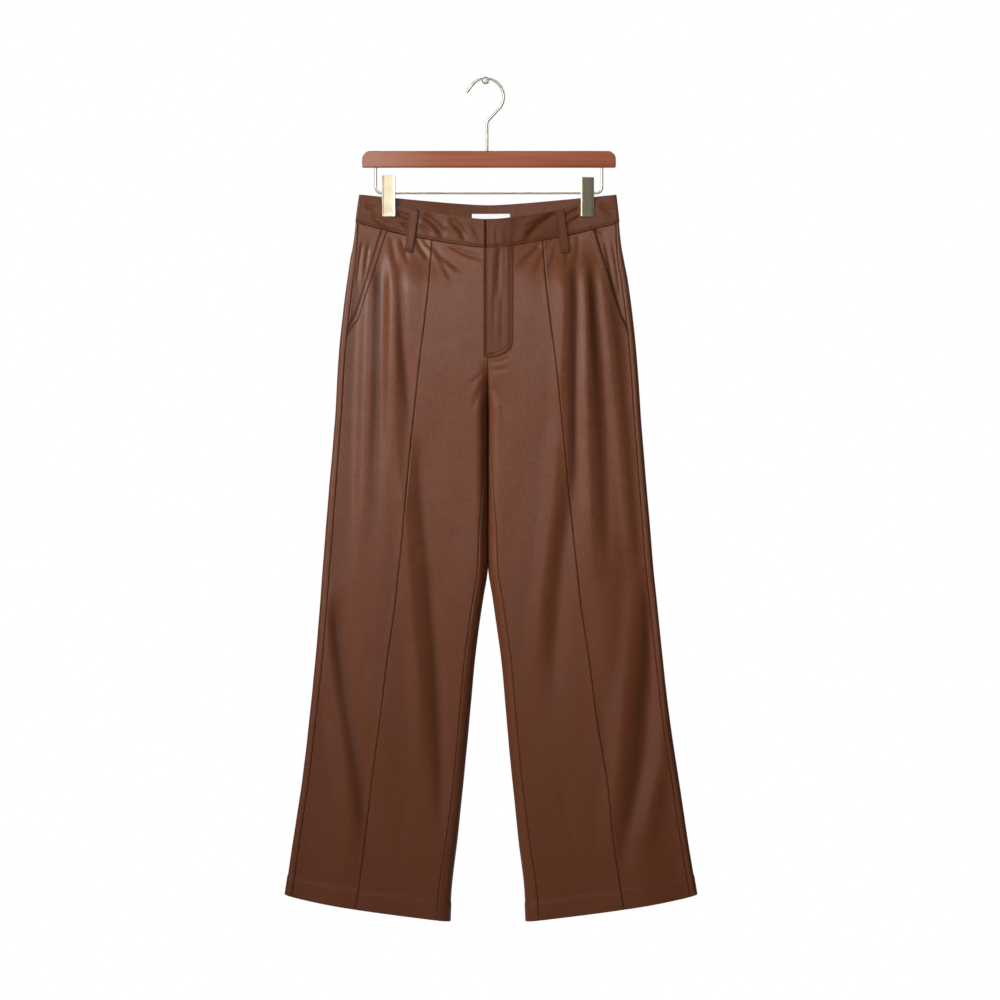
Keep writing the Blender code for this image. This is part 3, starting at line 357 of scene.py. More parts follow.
def makeLeg(side):
    leg = {"side": side}
    count, points, samples = rings["count"], rings["points"], rings["samples"]
    share = 0.5 * (1.0 - np.cos(np.linspace(0.0, math.pi, points)))
    drops = rings["top"] + rings["step"] * np.arange(count)
    drop = drops[:, None] + np.zeros((1, points))
    inner = section("inner", drop)
    x = inner + (sideAt(np.float64(side), drop) - inner) * share
    front = depthAt("front", side * x, drop, across=x)
    back = depthAt("back", side * x, drop, across=x)
    x = np.where(drop >= trousers["crotchDrop"] - 1e-6, np.maximum(x, 0.0), x)  # the legs lie against each other
    ringX = np.concatenate([x, x[:, -2::-1]], axis=1)
    ringY = np.concatenate([-front, back[:, -2::-1]], axis=1)
    steps = np.hypot(np.diff(ringX), np.diff(ringY))
    run = np.concatenate([np.zeros((count, 1)), np.cumsum(steps, axis=1)], axis=1)
    total = run[:, -1]
    even = np.linspace(0.0, 1.0, samples)
    leg["drops"], leg["total"] = drops, total
    leg["x"] = np.array([np.interp(even * total[k], run[k], ringX[k]) for k in range(count)])
    leg["y"] = np.array([np.interp(even * total[k], run[k], ringY[k]) for k in range(count)])
    leg["closed"] = drops >= trousers["crotchDrop"] - 1e-6

    def frontRun(across):
        lane = ringX[:, :points] + 1e-9 * np.arange(points)
        return np.array([np.interp(across[k], lane[k], run[k, :points]) for k in range(count)])

    outer = sideAt(np.float64(side), drops)
    outseam = outer - inset("outseam", drops)
    slant = trousers["pocketTop"][1] + trousers["pocketLean"] * (drops - trousers["pocketTop"][0])
    slant = slant + (outseam - slant) * smoothStep((drops - 0.345) / (pockets["foot"] - 0.345))
    inseam = frontRun(section("inner", drops) + inset("inseam", drops))
    leg["seams"] = {
        "inseam": inseam,
        "legSeam": frontRun(section("legSeam", drops) * outer / section("left", drops)),
        "pocket": frontRun(np.minimum(slant, outseam)),
        "outseam": frontRun(outseam),
        "side": run[:, points - 1],
        "backEnd": total + np.where(leg["closed"], inseam, 0.0),
        "total": total,
    }
    return leg


def seamAt(leg, name, drop):
    return np.interp(drop, leg["drops"], leg["seams"][name])


def legPoint(leg, drop, run):  # points at lengths along the rings, between two stored ones
    drop, run = np.broadcast_arrays(np.asarray(drop, float), np.asarray(run, float))
    place = np.clip((drop - rings["top"]) / rings["step"], 0.0, rings["count"] - 1.001)
    k = np.floor(place + 1e-9).astype(int)
    t = np.clip(place - k, 0.0, 1.0)
    spots = []
    for ring in (k, k + 1):
        total = leg["total"][ring]
        turn = np.where(leg["closed"][ring], np.mod(run, total), np.clip(run, 0.0, total))
        along = np.clip(turn / total, 0.0, 1.0) * (rings["samples"] - 1)
        j = np.minimum(np.floor(along).astype(int), rings["samples"] - 2)
        u = along - j
        spots.append([line[ring, j] * (1.0 - u) + line[ring, j + 1] * u for line in (leg["x"], leg["y"])])
    (x0, y0), (x1, y1) = spots
    return np.stack([leg["side"] * (x0 + (x1 - x0) * t), y0 + (y1 - y0) * t, -drop], axis=-1)


def legNormal(leg, drop, run):
    e = 0.0006
    drop, run = np.broadcast_arrays(np.asarray(drop, float), np.asarray(run, float))
    isOpen = drop < trousers["crotchDrop"] - 1e-6
    held = np.clip(run, 2.0 * e, seamAt(leg, "total", drop) - 3.0 * e)
    run = np.where(isOpen, held, run)
    along = legPoint(leg, drop, run + e) - legPoint(leg, drop, run - e)
    down = legPoint(leg, drop + e, run) - legPoint(leg, drop - e, run)
    normal = leg["side"] * np.cross(down, along)
    return normal / np.maximum(np.linalg.norm(normal, axis=-1, keepdims=True), 1e-12)


def hemDrop(leg, x):
    inner = section("inner", trousers["hemInner"])
    outer = sideAt(np.float64(leg["side"]), trousers["hemSide"])
    share = np.clip((outer - np.abs(x)) / (outer - inner), 0.0, 1.0)
    return trousers["hemSide"] + (trousers["hemInner"] - trousers["hemSide"]) * share ** trousers["hemPower"]


legs = {"left": makeLeg(-1.0), "right": makeLeg(1.0)}
print("garment form measured")


# creases: small troughs with a soft ridge beside them. Face, start and end as (x, drop), how far
# the middle bows aside, width, depth, and how much of the depth stands up as a ridge
creases = (
    ("front", (-0.0941, 0.1999), (-0.0647, 0.2308), -0.0026, 0.0050, 0.0034, 0.55),
    ("front", (-0.0985, 0.2161), (-0.0823, 0.2278), -0.0006, 0.0034, 0.0014, 0.45),
    ("front", (-0.0559, 0.2058), (-0.0323, 0.2374), -0.0028, 0.0048, 0.0027, 0.50),
    ("front", (-0.1323, 0.1962), (-0.1103, 0.2051), 0.0004, 0.0040, 0.0017, 0.45),
    ("front", (-0.1264, 0.2109), (-0.1117, 0.2198), 0.0003, 0.0036, 0.0014, 0.45),
    ("front", (0.1014, 0.1977), (0.0529, 0.2418), 0.0046, 0.0056, 0.0032, 0.55),
    ("front", (0.1338, 0.1911), (0.1132, 0.2007), -0.0005, 0.0032, 0.0018, 0.50),
    ("front", (0.1345, 0.2021), (0.1154, 0.2130), -0.0006, 0.0032, 0.0018, 0.50),
    ("front", (0.1499, 0.2168), (0.1705, 0.2242), 0.0003, 0.0032, 0.0015, 0.50),
    ("front", (-0.1793, 0.1860), (-0.1632, 0.1911), 0.0000, 0.0034, 0.0011, 0.45),
    ("front", (0.1646, 0.1845), (0.1852, 0.1962), 0.0006, 0.0040, 0.0013, 0.45),
    ("front", (-0.1700, 0.2010), (-0.1420, 0.2150), 0.0012, 0.0038, 0.0012, 0.50),
    ("front", (-0.0250, 0.2130), (-0.0120, 0.2380), -0.0010, 0.0036, 0.0010, 0.45),
    ("front", (0.0120, 0.2210), (0.0135, 0.2440), 0.0002, 0.0026, 0.0006, 0.50),
    ("front", (0.0250, 0.2200), (0.0262, 0.2440), -0.0002, 0.0026, 0.0004, 0.50),
    ("front", (0.0760, 0.2080), (0.0520, 0.2200), 0.0010, 0.0036, 0.0011, 0.45),
    ("front", (-0.1058, 0.2330), (-0.0853, 0.2668), 0.0012, 0.0036, 0.0015, 0.50),
    ("front", (-0.0970, 0.2337), (-0.0823, 0.2492), 0.0004, 0.0026, 0.0008, 0.50),
    ("front", (-0.0808, 0.2448), (-0.0397, 0.2815), 0.0026, 0.0038, 0.0016, 0.50),
    ("front", (-0.0559, 0.2440), (-0.0059, 0.2653), 0.0022, 0.0036, 0.0014, 0.50),
    ("front", (-0.0764, 0.2536), (-0.0529, 0.2977), -0.0010, 0.0040, 0.0010, 0.40),
    ("front", (-0.1279, 0.2330), (-0.1161, 0.2712), 0.0006, 0.0036, 0.0011, 0.40),
    ("front", (-0.1426, 0.2301), (-0.1338, 0.2800), 0.0004, 0.0040, 0.0010, 0.40),
    ("front", (0.0779, 0.2433), (0.0426, 0.2771), -0.0018, 0.0040, 0.0015, 0.50),
    ("front", (0.0897, 0.2418), (0.0662, 0.2889), -0.0010, 0.0038, 0.0011, 0.50),
    ("front", (0.1000, 0.2506), (0.0889, 0.2800), -0.0005, 0.0030, 0.0009, 0.50),
    ("front", (0.1191, 0.2359), (0.1147, 0.2800), 0.0003, 0.0036, 0.0010, 0.40),
    ("front", (0.1338, 0.2301), (0.1308, 0.2712), 0.0003, 0.0036, 0.0009, 0.40),
    ("front", (-0.1750, 0.2420), (-0.1835, 0.3080), 0.0006, 0.0024, 0.0012, 0.50),
    ("front", (-0.1850, 0.2400), (-0.1930, 0.3000), 0.0004, 0.0022, 0.0009, 0.50),
    ("front", (0.1720, 0.2420), (0.1850, 0.3060), -0.0006, 0.0024, 0.0012, 0.50),
    ("front", (0.1830, 0.2400), (0.1940, 0.3120), -0.0004, 0.0022, 0.0009, 0.50),
    ("front", (0.0180, 0.2462), (0.0140, 0.3241), 0.0006, 0.0040, 0.0018, 0.45),
    ("front", (0.0250, 0.2448), (0.0232, 0.2874), 0.0002, 0.0026, 0.0004, 0.50),
    ("front", (0.0100, 0.2524), (0.0090, 0.3829), 0.0004, 0.0026, 0.0004, 0.50),
    ("front", (0.0215, 0.3150), (0.0200, 0.3900), 0.0004, 0.0030, 0.0005, 0.50),
    ("front", (0.0073, 0.4167), (0.0309, 0.4109), 0.0014, 0.0024, 0.0009, 0.60),
    ("front", (0.0073, 0.4285), (0.0294, 0.4256), 0.0008, 0.0028, 0.0006, 0.50),
    ("front", (0.0059, 0.4506), (0.0250, 0.5020), -0.0020, 0.0040, 0.0009, 0.50),
    ("front", (-0.0059, 0.4300), (-0.0265, 0.4476), -0.0010, 0.0030, 0.0005, 0.40),
    ("front", (-0.0059, 0.4476), (-0.0221, 0.4858), 0.0014, 0.0038, 0.0007, 0.40),
    ("front", (-0.1705, 0.8239), (-0.1852, 0.9121), 0.0010, 0.0070, 0.0007, 0.40),
    ("front", (0.1646, 0.9121), (0.1823, 1.0150), 0.0015, 0.0070, 0.0007, 0.40),
    ("front", (0.1058, 1.0297), (0.1279, 1.1326), 0.0015, 0.0080, 0.0006, 0.40),
    ("front", (-0.1147, 1.0444), (-0.1323, 1.1473), 0.0015, 0.0080, 0.0006, 0.40),
    ("back", (-0.0600, 0.2310), (-0.0380, 0.2620), 0.0016, 0.0032, 0.0013, 0.50),
    ("back", (-0.1120, 0.2240), (-0.0940, 0.2620), 0.0012, 0.0032, 0.0012, 0.50),
    ("back", (-0.1340, 0.2280), (-0.1280, 0.2680), 0.0006, 0.0032, 0.0010, 0.40),
    ("back", (0.0620, 0.2310), (0.0360, 0.2640), -0.0018, 0.0032, 0.0013, 0.50),
    ("back", (0.1100, 0.2230), (0.0920, 0.2580), -0.0012, 0.0032, 0.0012, 0.50),
    ("back", (0.1360, 0.2280), (0.1300, 0.2700), -0.0006, 0.0032, 0.0010, 0.40),
    ("back", (-0.0700, 0.1960), (-0.0500, 0.2180), 0.0012, 0.0034, 0.0013, 0.50),
    ("back", (0.1040, 0.1940), (0.1180, 0.2120), 0.0010, 0.0032, 0.0012, 0.50),
    ("back", (0.0400, 0.1960), (0.0240, 0.2190), -0.0012, 0.0036, 0.0010, 0.50),
    ("back", (-0.0080, 0.4300), (-0.0520, 0.4800), 0.0040, 0.0040, 0.0012, 0.50),
    ("back", (-0.0060, 0.4500), (-0.0400, 0.5200), 0.0040, 0.0042, 0.0010, 0.50),
    ("back", (0.0080, 0.4250), (0.0560, 0.4700), -0.0040, 0.0040, 0.0012, 0.50),
    ("back", (0.0060, 0.4550), (0.0460, 0.5300), -0.0040, 0.0042, 0.0010, 0.50),
    ("back", (-0.1500, 0.6200), (-0.1200, 0.7000), 0.0030, 0.0070, 0.0009, 0.40),
    ("back", (0.1600, 0.6400), (0.1280, 0.7300), -0.0030, 0.0070, 0.0009, 0.40),
)


def reliefAt(face, x, drop):
    relief = np.zeros(np.broadcast(x, drop).shape)
    for side, start, end, bow, width, depth, lift in creases:
        if side != face:
            continue
        (x0, z0), (x1, z1) = start, end
        length = math.hypot(x1 - x0, z1 - z0)
        ux, uz = (x1 - x0) / length, (z1 - z0) / length
        along = ((x - x0) * ux + (drop - z0) * uz) / length
        aside = (x - x0) * -uz + (drop - z0) * ux - bow * np.sin(math.pi * np.clip(along, 0.0, 1.0))
        ends = smoothStep((along + 0.12) / 0.30) * smoothStep((1.12 - along) / 0.45)
        dip = np.exp(-((aside / width) ** 2)) - lift * np.exp(-(((aside - 1.9 * width) / (1.2 * width)) ** 2))
        relief = relief - depth * ends * dip
    # slow unevenness of a soft coated cloth
    wave = 0.00022 * np.sin(61.0 * x + 9.0 * drop + 1.3) * np.sin(23.0 * drop + 17.0 * x)
    wave = wave + 0.00012 * np.sin(143.0 * x - 31.0 * drop) * np.sin(47.0 * drop + 2.1)
    return relief + wave


# sewing seams: how far panel edges sink into them
sewn = {"sink": 0.00075, "reach": 0.0016, "steps": (0.0, 0.0005, 0.0010, 0.0016, 0.0024, 0.0036, 0.0050),
        "lip": 0.00040, "lipAt": 0.0030}


def sinkAt(distance):
    return -sewn["sink"] * (1.0 - smoothStep(distance / sewn["reach"]))


cloth = {}  # finished cloth pieces by name


def edgeRuns(outside, axis):  # lengths over the cloth from its first edge and from its last
    steps = np.linalg.norm(np.diff(outside, axis=axis), axis=-1)
    first = np.cumsum(steps, axis=axis)
    first = np.insert(first, 0, 0.0, axis=axis)
    last = np.take(first, [-1], axis=axis) - first
    return np.stack([first, last], axis=-1)


def foldShadeAt(points, normals):  # painted shade in fold hollows: how deep the cloth lies in a fold's hollow, 0 to 1, moved onto its left wall, which faces away from the key light
    x, drop = points[..., 0] + 0.0052, -points[..., 2]
    near = 0.012
    dips = [0.5 * (depthAt(face, x - near, drop) + depthAt(face, x + near, drop)) - depthAt(face, x, drop)
            for face in ("front", "back")]
    dip = np.clip(np.where(normals[..., 1] < 0.0, dips[0], dips[1]) / 0.0040, 0.0, 1.0)
    return np.stack([dip, 0.0 * dip], axis=-1)


def layCloth(name, outside, wall, uv, rim=0.0002, outward=None, across=None):
    # a grid of cloth laid on the given points, then given its thickness and soft rims
    rows, columns = outside.shape[:2]
    lanes = {"acrossRuns": edgeRuns(outside, 1) if across is None else across, "downRuns": edgeRuns(outside, 0),
             "hollows": foldShadeAt(outside, outward)}
    deselectAll()
    bpy.ops.mesh.primitive_grid_add(x_subdivisions=columns - 1, y_subdivisions=rows - 1, size=1.0)
    piece = bpy.context.object
    piece.name = name
    piece.data.name = name
    mesh = piece.data
    points = outside + np.array([trousers["centreX"], 0.0, 0.0])
    mesh.vertices.foreach_set("co", points.reshape(-1))
    corner = np.empty(len(mesh.loops), int)
    mesh.loops.foreach_get("vertex_index", corner)
    mesh.uv_layers.active.data.foreach_set("uv", uv.reshape(-1, 2)[corner].reshape(-1))
    for title, lane in lanes.items():
        mesh.uv_layers.new(name=title, do_init=False).data.foreach_set("uv", lane.reshape(-1, 2)[corner].reshape(-1))
    mesh.update()
    middle = mesh.polygons[(rows // 2) * (columns - 1) + columns // 2]
    if middle.normal.dot(Vector(outward[rows // 2, columns // 2])) < 0.0:
        mesh.flip_normals()
    thicken = piece.modifiers.new("wall", "SOLIDIFY")
    thicken.thickness = wall
    thicken.offset = -1.0
    bpy.ops.object.modifier_apply(modifier="wall")
    if rim:
        soften = piece.modifiers.new("rim", "BEVEL")
        soften.width = rim
        soften.segments = 2
        soften.limit_method = "ANGLE"
        soften.angle_limit = math.radians(62.0)
        bpy.ops.object.modifier_apply(modifier="rim")
    mesh.shade_smooth()
    mesh.set_sharp_from_angle(angle=math.radians(50.0))
    cloth[name] = piece
    return piece


def spread(start, end, steps, between):  # lengths from start to end, fine near both seams
    steps = np.asarray(steps)
    middle = np.linspace(0.0, 1.0, between + 2)[1:-1]
    first = start[..., None] + steps
    last = end[..., None] - steps[::-1]
    span = (last[..., :1] - first[..., -1:])
    return np.concatenate([first, first[..., -1:] + span * middle, last], axis=-1)


fly = {"left": -0.0018, "run": 0.0375, "turn": 0.3844, "bottom": 0.4105, "rows": 130, "columns": 34, "proud": 0.0013,
       "roll": 0.0018, "fall": (0.0032, 0.0026, 0.0025)}
panels = {
    "rows": (52, 92, 190, 40),
    "backRows": (40, 72, 150, 32),
    "inner": {"from": "inseam", "to": "legSeam", "between": 46},
    "outer": {"from": "legSeam", "to": "pocket", "between": 42},
    "back": {"from": "outseam", "to": "backEnd", "between": 72},
}


def rowDrops(top, bottom, rows):
    parts, marks = [], (trousers["hipLine"], trousers["crotchDrop"], trousers["calfLine"])
    starts = (top,) + marks
    ends = marks + (bottom,)
    for index, count in enumerate(rows):
        share = np.linspace(0.0, 1.0, count + 1)
        share = share if index == len(rows) - 1 else share[:-1]
        start, end = np.asarray(starts[index], float), np.asarray(ends[index], float)
        parts.append(start + (end - start) * share[:, None])
    return np.concatenate([part + np.zeros((1, len(np.atleast_1d(bottom)))) for part in parts])


def panelRuns(leg, kind, drop):
    spec = panels[kind]
    gap = 0.5 * trousers["seamGap"]
    start = seamAt(leg, spec["from"], drop) + gap
    end = seamAt(leg, spec["to"], drop)
    if kind == "back":
        end = end - np.where(drop >= trousers["crotchDrop"] - 1e-6, gap, 0.0)
    else:
        end = end - gap
    return spread(start, end, sewn["steps"], spec["between"])


def faceOf(leg, run):
    return np.where(run > seamAt(leg, "side", trousers["waistDrop"]), "back", "front")


def panelLayout(leg, kind):
    # drops and lengths of a panel's grid, its rows running from the waist seam to the hem
    rows = panels["backRows"] if kind == "back" else panels["rows"]
    waist, low = np.float64(trousers["waistDrop"]), np.float64(trousers["hemSide"])
    topRuns, lowRuns = panelRuns(leg, kind, waist), panelRuns(leg, kind, low)
    topX, lowX = legPoint(leg, waist, topRuns)[:, 0], legPoint(leg, low, lowRuns)[:, 0]
    onBack = faceOf(leg, topRuns) == "back"
    front, back = (edgeDrop(trousers["bandSeam"][face], topX) for face in ("front", "back"))
    top = np.where(onBack, back, front) + 0.5 * trousers["seamGap"]
    drop = rowDrops(top, hemDrop(leg, lowX), rows)
    runs = panelRuns(leg, kind, drop)
    column = np.arange(drop.shape[1])
    run = runs[:, column, column]
    return drop, run


def dress(points, normals, proud=0.0, sink=0.0):
    # moves points out along their normals by the creases, the seams and a piece's own height
    x, drop = points[..., 0], -points[..., 2]
    away = np.clip((trousers["valleyDrop"] + 0.010 - drop) / 0.008, 0.0, 1.0) + np.clip((drop - 0.722) / 0.006, 0.0, 1.0)
    held = smoothStep(np.abs(x) / 0.0030 + away)  # nothing moves where the two sides touch
    front = reliefAt("front", x, drop)
    back = reliefAt("back", x, drop)
    relief = np.where(normals[..., 1] < 0.0, front, back)
    return points + normals * ((relief + proud + sink) * held)[..., None]


hems = {"depth": 0.0280, "step": 0.00070}


def makePanels():
    for side, leg in legs.items():
        for kind in ("inner", "outer", "back"):
            drop, run = panelLayout(leg, kind)
            points, normals = legPoint(leg, drop, run), legNormal(leg, drop, run)
            fromEdge = np.minimum(run - run[:, :1], run[:, -1:] - run)
            rowsDown = drop - drop[:1]
            rowsUp = drop[-1:] - drop
            sink = sinkAt(fromEdge) + sinkAt(rowsDown)
            if (side, kind) in (("left", "outer"), ("right", "inner")):  # the allowance is pressed to this side
                toSeam = run - run[:, :1] if kind == "outer" else run[:, -1:] - run
                sink = sink + sewn["lip"] * np.exp(-(((toSeam - sewn["lipAt"]) / 0.0026) ** 2))
            turnUp = hems["step"] * smoothStep((hems["depth"] - rowsUp) / 0.0012)
            if (side, kind) == ("left", "inner"):  # falls away beside the fly that laps over it
                dip = 1.0 - smoothStep((run - run[:, :1] - fly["fall"][0]) / fly["fall"][1])
                sink = sink - fly["fall"][2] * dip * smoothStep((fly["bottom"] - drop) / 0.006)
            uv = np.stack([run * leg["side"] + 0.7 * leg["side"], -drop], axis=-1)
            outside = dress(points, normals, turnUp, sink)
            name = f"back_{side}" if kind == "back" else f"front_{kind}_{side}"
            piece = layCloth(f"{kind}Panel_{side}", outside, trousers["leather"], uv, outward=normals)
            piece["node"] = name


makePanels()
print("leg panels cut and hung")


# turned-up hems, inside each leg's foot
def makeHems():
    setIn = -(trousers["leather"] + 2.0 * trousers["seamGap"])
    for side, leg in legs.items():
        low = np.float64(trousers["hemSide"])
        total = seamAt(leg, "total", low)
        start = seamAt(leg, "inseam", low)
        share = np.linspace(0.0, 1.0, 180)
        x = legPoint(leg, low, start + total * share)[:, 0]
        rows = []
        for step in np.linspace(hems["depth"], trousers["seamGap"], 9):
            drop = hemDrop(leg, x) - step
            run = seamAt(leg, "inseam", drop) + seamAt(leg, "total", drop) * share
            rows.append((drop, run))
        drop = np.array([row[0] for row in rows])
        run = np.array([row[1] for row in rows])
        points, normals = legPoint(leg, drop, run), legNormal(leg, drop, run)
        outside = dress(points, normals, setIn)
        uv = np.stack([run * leg["side"] + 0.7 * leg["side"], -drop], axis=-1)
        piece = layCloth(f"hemFacing_{side}", outside, 0.0010, uv, outward=normals)
        mergeSeam(piece)
        piece["node"] = f"hem_{side}"


def mergeSeam(piece):  # closes a ring of cloth where its ends meet
    build = bmesh.new()
    build.from_mesh(piece.data)
    bmesh.ops.remove_doubles(build, verts=build.verts, dist=0.00005)
    build.to_mesh(piece.data)
    build.free()


makeHems()
print("hems turned up")


# slant pockets: the bearer that shows in the opening, and the stitched welt on its edge
def makePockets():
    gap = 0.5 * trousers["seamGap"]
    for side, leg in legs.items():
        low = pockets["foot"]
        share = np.linspace(0.0, 1.0, pockets["rows"])[:, None]
        waist = np.float64(trousers["waistDrop"])

        across = np.concatenate([[0.0, 0.0004, 0.0010], np.linspace(0.0018, 0.0062, 6), [0.0070, 0.0076, 0.0080]])
        topRun = seamAt(leg, "pocket", waist) - gap - pockets["welt"] + across
        topX = legPoint(leg, waist, topRun)[:, 0]
        top = edgeDrop(trousers["bandSeam"]["front"], topX) + gap
        drop = top + (low - top) * share
        taper = 1.0 - 0.8 * smoothStep((drop - low + 0.0240) / 0.0240)  # the strip runs out at its foot
        run = seamAt(leg, "pocket", drop) - gap - (pockets["welt"] - across) * taper
        points, normals = legPoint(leg, drop, run), legNormal(leg, drop, run)
        edge = np.minimum(across, pockets["welt"] - across)
        pucker = 0.00018 * np.sin(drop / 0.0052 * math.pi) * np.exp(-((across - 0.004) / 0.003) ** 2)
        lift = trousers["seamGap"] + pockets["weltWall"] + sinkAt(edge) + sinkAt(drop - top) + pucker
        uv = np.stack([run * leg["side"] + 0.7 * leg["side"], -drop], axis=-1)
        outside = dress(points, normals, lift)
        piece = layCloth(f"pocketWelt_{side}", outside, pockets["weltWall"], uv, outward=normals)
        piece["node"] = f"pocket_welt_{side}"

        columns = np.linspace(0.0, 1.0, pockets["bearerColumns"])
        start = seamAt(leg, "pocket", waist) - gap - 0.006
        end = seamAt(leg, "outseam", waist) - gap
        topX = legPoint(leg, waist, start + (end - start) * columns)[:, 0]
        top = edgeDrop(trousers["bandSeam"]["front"], topX) + gap
        drop = top + (low - top) * share
        start = seamAt(leg, "pocket", drop) - gap - 0.006
        end = seamAt(leg, "outseam", drop) - gap
        run = start + (end - start) * columns
        points, normals = legPoint(leg, drop, run), legNormal(leg, drop, run)
        under = -(trousers["leather"] + trousers["seamGap"])
        out = np.clip((run - start - 0.006) / np.maximum(end - start - 0.006, 1e-6), 0.0, 1.0)
        lift = under * (1.0 - smoothStep(out)) + sinkAt(end - run) + sinkAt(drop - top)
        outside = dress(points, normals, lift)
        uv = np.stack([run * leg["side"] + 0.7 * leg["side"], -drop], axis=-1)
        piece = layCloth(f"pocketBearer_{side}", outside, trousers["leather"], uv, outward=normals)
        piece["node"] = f"pocket_bearer_{side}"


makePockets()
print("pockets set in")


# the fly: straight down from the band, then turning in to its foot as a J
def makeFly():
    share = np.concatenate([[0.0, 0.008, 0.018, 0.032], np.linspace(0.05, 1.0, fly["columns"] - 4)])
    x = fly["left"] + (fly["run"] - fly["left"]) * share
    top = edgeDrop(trousers["bandSeam"]["front"], x) + 0.5 * trousers["seamGap"]
    foot = fly["turn"] + (fly["bottom"] - fly["turn"]) * np.sqrt(np.maximum(1.0 - share ** 2, 0.0))
    down = np.linspace(0.0, 1.0, fly["rows"])[:, None]
    drop = top + (foot - top) * down
    x = x + np.zeros_like(drop)
    points, normals = facePoint("front", x, drop), faceNormal("front", x, drop)
    toFoot = np.minimum(foot - drop + 0.004, 0.02)
    toEdge = np.minimum(fly["run"] - x, toFoot)
    height = fly["proud"] * (0.25 + 0.75 * smoothStep(toEdge / 0.009))
    lift = height + sinkAt(drop - top) - 0.0010 * (1.0 - roundOff(x - fly["left"], fly["roll"]))
    uv = np.stack([x + 0.7, -drop], axis=-1)
    outside = dress(points, normals, lift)
    turn = np.linspace(0.0, 0.5 * math.pi, 60)
    curveX = fly["left"] + (fly["run"] - fly["left"]) * np.cos(turn)
    curveDrop = fly["turn"] + (fly["bottom"] - fly["turn"]) * np.sin(turn)
    toCurve = np.hypot(x[..., None] - curveX, drop[..., None] - curveDrop).min(axis=-1)
    toEdge = np.where(drop < fly["turn"], np.minimum(fly["run"] - x, toCurve), toCurve)
    runs = np.stack([x - fly["left"], toEdge], axis=-1)
    piece = layCloth("flyPlacket", outside, 0.0010, uv, outward=normals, across=runs)
    piece["node"] = "fly_placket"


makeFly()
print("fly laid over")


# waistband: front left runs under front right, the back goes round both sides
band = {"wall": 0.0022, "proud": 0.0004, "underlap": 0.0120, "tuck": (-0.0062, 0.0034), "rows": 26, "rim": 0.0006}


def bandGrid(side, places, rows):
    leg = legs[side]
    end = (sideAt(np.float64(leg["side"]), trousers["waistDrop"]) - inset("outseam", trousers["waistDrop"]))
    share = np.linspace(0.0, 1.0, rows)[:, None]
    top = edgeDrop(trousers["bandTop"]["front"], places)
    bottom = edgeDrop(trousers["bandSeam"]["front"], places) - 0.5 * trousers["seamGap"]
    drop = top + (bottom - top) * share
    outer = sideAt(np.float64(leg["side"]), drop) - inset("outseam", drop)
    stretch = (outer / end - 1.0) * np.abs(places / end) ** 3
    return places * (1.0 + stretch), drop, top, bottom


def bandPiece(name, node, points, normals, lift, uv):
    outside = dress(points, normals, lift)
    piece = layCloth(name, outside, band["wall"], uv, rim=band["rim"], outward=normals)
    piece["node"] = node


def makeWaistband():
    gap = 0.5 * trousers["seamGap"]
    waist = trousers["waistDrop"]
    leftEnd = float(sideAt(-1.0, waist) - inset("outseam", waist)) - gap
    rightEnd = float(sideAt(1.0, waist) - inset("outseam", waist)) - gap
    start, width = band["tuck"]

    places = np.concatenate([np.linspace(-leftEnd, -0.010, 118), np.linspace(-0.0094, band["underlap"], 30)])
    x, drop, top, bottom = bandGrid("left", places, band["rows"])
    points, normals = facePoint("front", x, drop), faceNormal("front", x, drop)
    tucked = smoothStep((places - start) / width) * (band["wall"] + 2.0 * trousers["seamGap"])
    uv = np.stack([x - 0.7, -drop], axis=-1)
    bandPiece("waistbandLeft", "waistband_front_left", points, normals, band["proud"] - tucked + 0.0 * drop, uv)

    places = np.concatenate([fly["left"] + np.array([0.0, 0.0003, 0.0007, 0.0012]), np.linspace(0.0002, rightEnd, 120)])
    x, drop, top, bottom = bandGrid("right", places, band["rows"])
    points, normals = facePoint("front", x, drop), faceNormal("front", x, drop)
    uv = np.stack([x + 0.7, -drop], axis=-1)
    rolled = 0.0010 * (1.0 - roundOff(places - fly["left"], fly["roll"]))
    bandPiece("waistbandRight", "waistband_front_right", points, normals, band["proud"] - rolled + 0.0 * drop, uv)

    lanes = []
    for side in ("left", "right"):
        leg = legs[side]
        first = seamAt(leg, "outseam", waist) + gap
        last = seamAt(leg, "total", waist)
        near = np.array([0.0, 0.0008, 0.0016, 0.0026, 0.0036, 0.0046, 0.0056, 0.0068, 0.0080, 0.0095])
        runs = np.concatenate([first + near, np.linspace(first + near[-1], last, 84)[1:]])
        where = legPoint(leg, np.float64(waist), runs)[:, 0]
        onBack = faceOf(leg, runs) == "back"
        top, bottom = (np.where(onBack, edgeDrop(trousers[edge]["back"], where),
                                edgeDrop(trousers[edge]["front"], where)) for edge in ("bandTop", "bandSeam"))
        bottom = bottom - gap
        drop = top + (bottom - top) * np.linspace(0.0, 1.0, band["rows"])[:, None]
        shift = seamAt(leg, "outseam", drop) - seamAt(leg, "outseam", waist)
        run = np.minimum(runs + shift, seamAt(leg, "total", drop))
        points, normals = legPoint(leg, drop, run), legNormal(leg, drop, run)
        uv = np.stack([leg["side"] * (run - seamAt(leg, "total", drop)), -drop], axis=-1)
        lane = [points, normals, uv]
        lanes.append([grid[:, :-1] for grid in lane] if side == "left" else [grid[:, ::-1] for grid in lane])
    points, normals, uv = (np.concatenate([lanes[0][k], lanes[1][k]], axis=1) for k in range(3))
    bandPiece("waistbandBack", "waistband_back", points, normals, band["proud"] + 0.0 * points[..., 0], uv)


makeWaistband()
print("waistband set on")


# bare woven label inside the back of the band
label = {"x": (-0.0238, 0.0326), "drop": (0.1966, 0.2236), "wall": 0.0010}


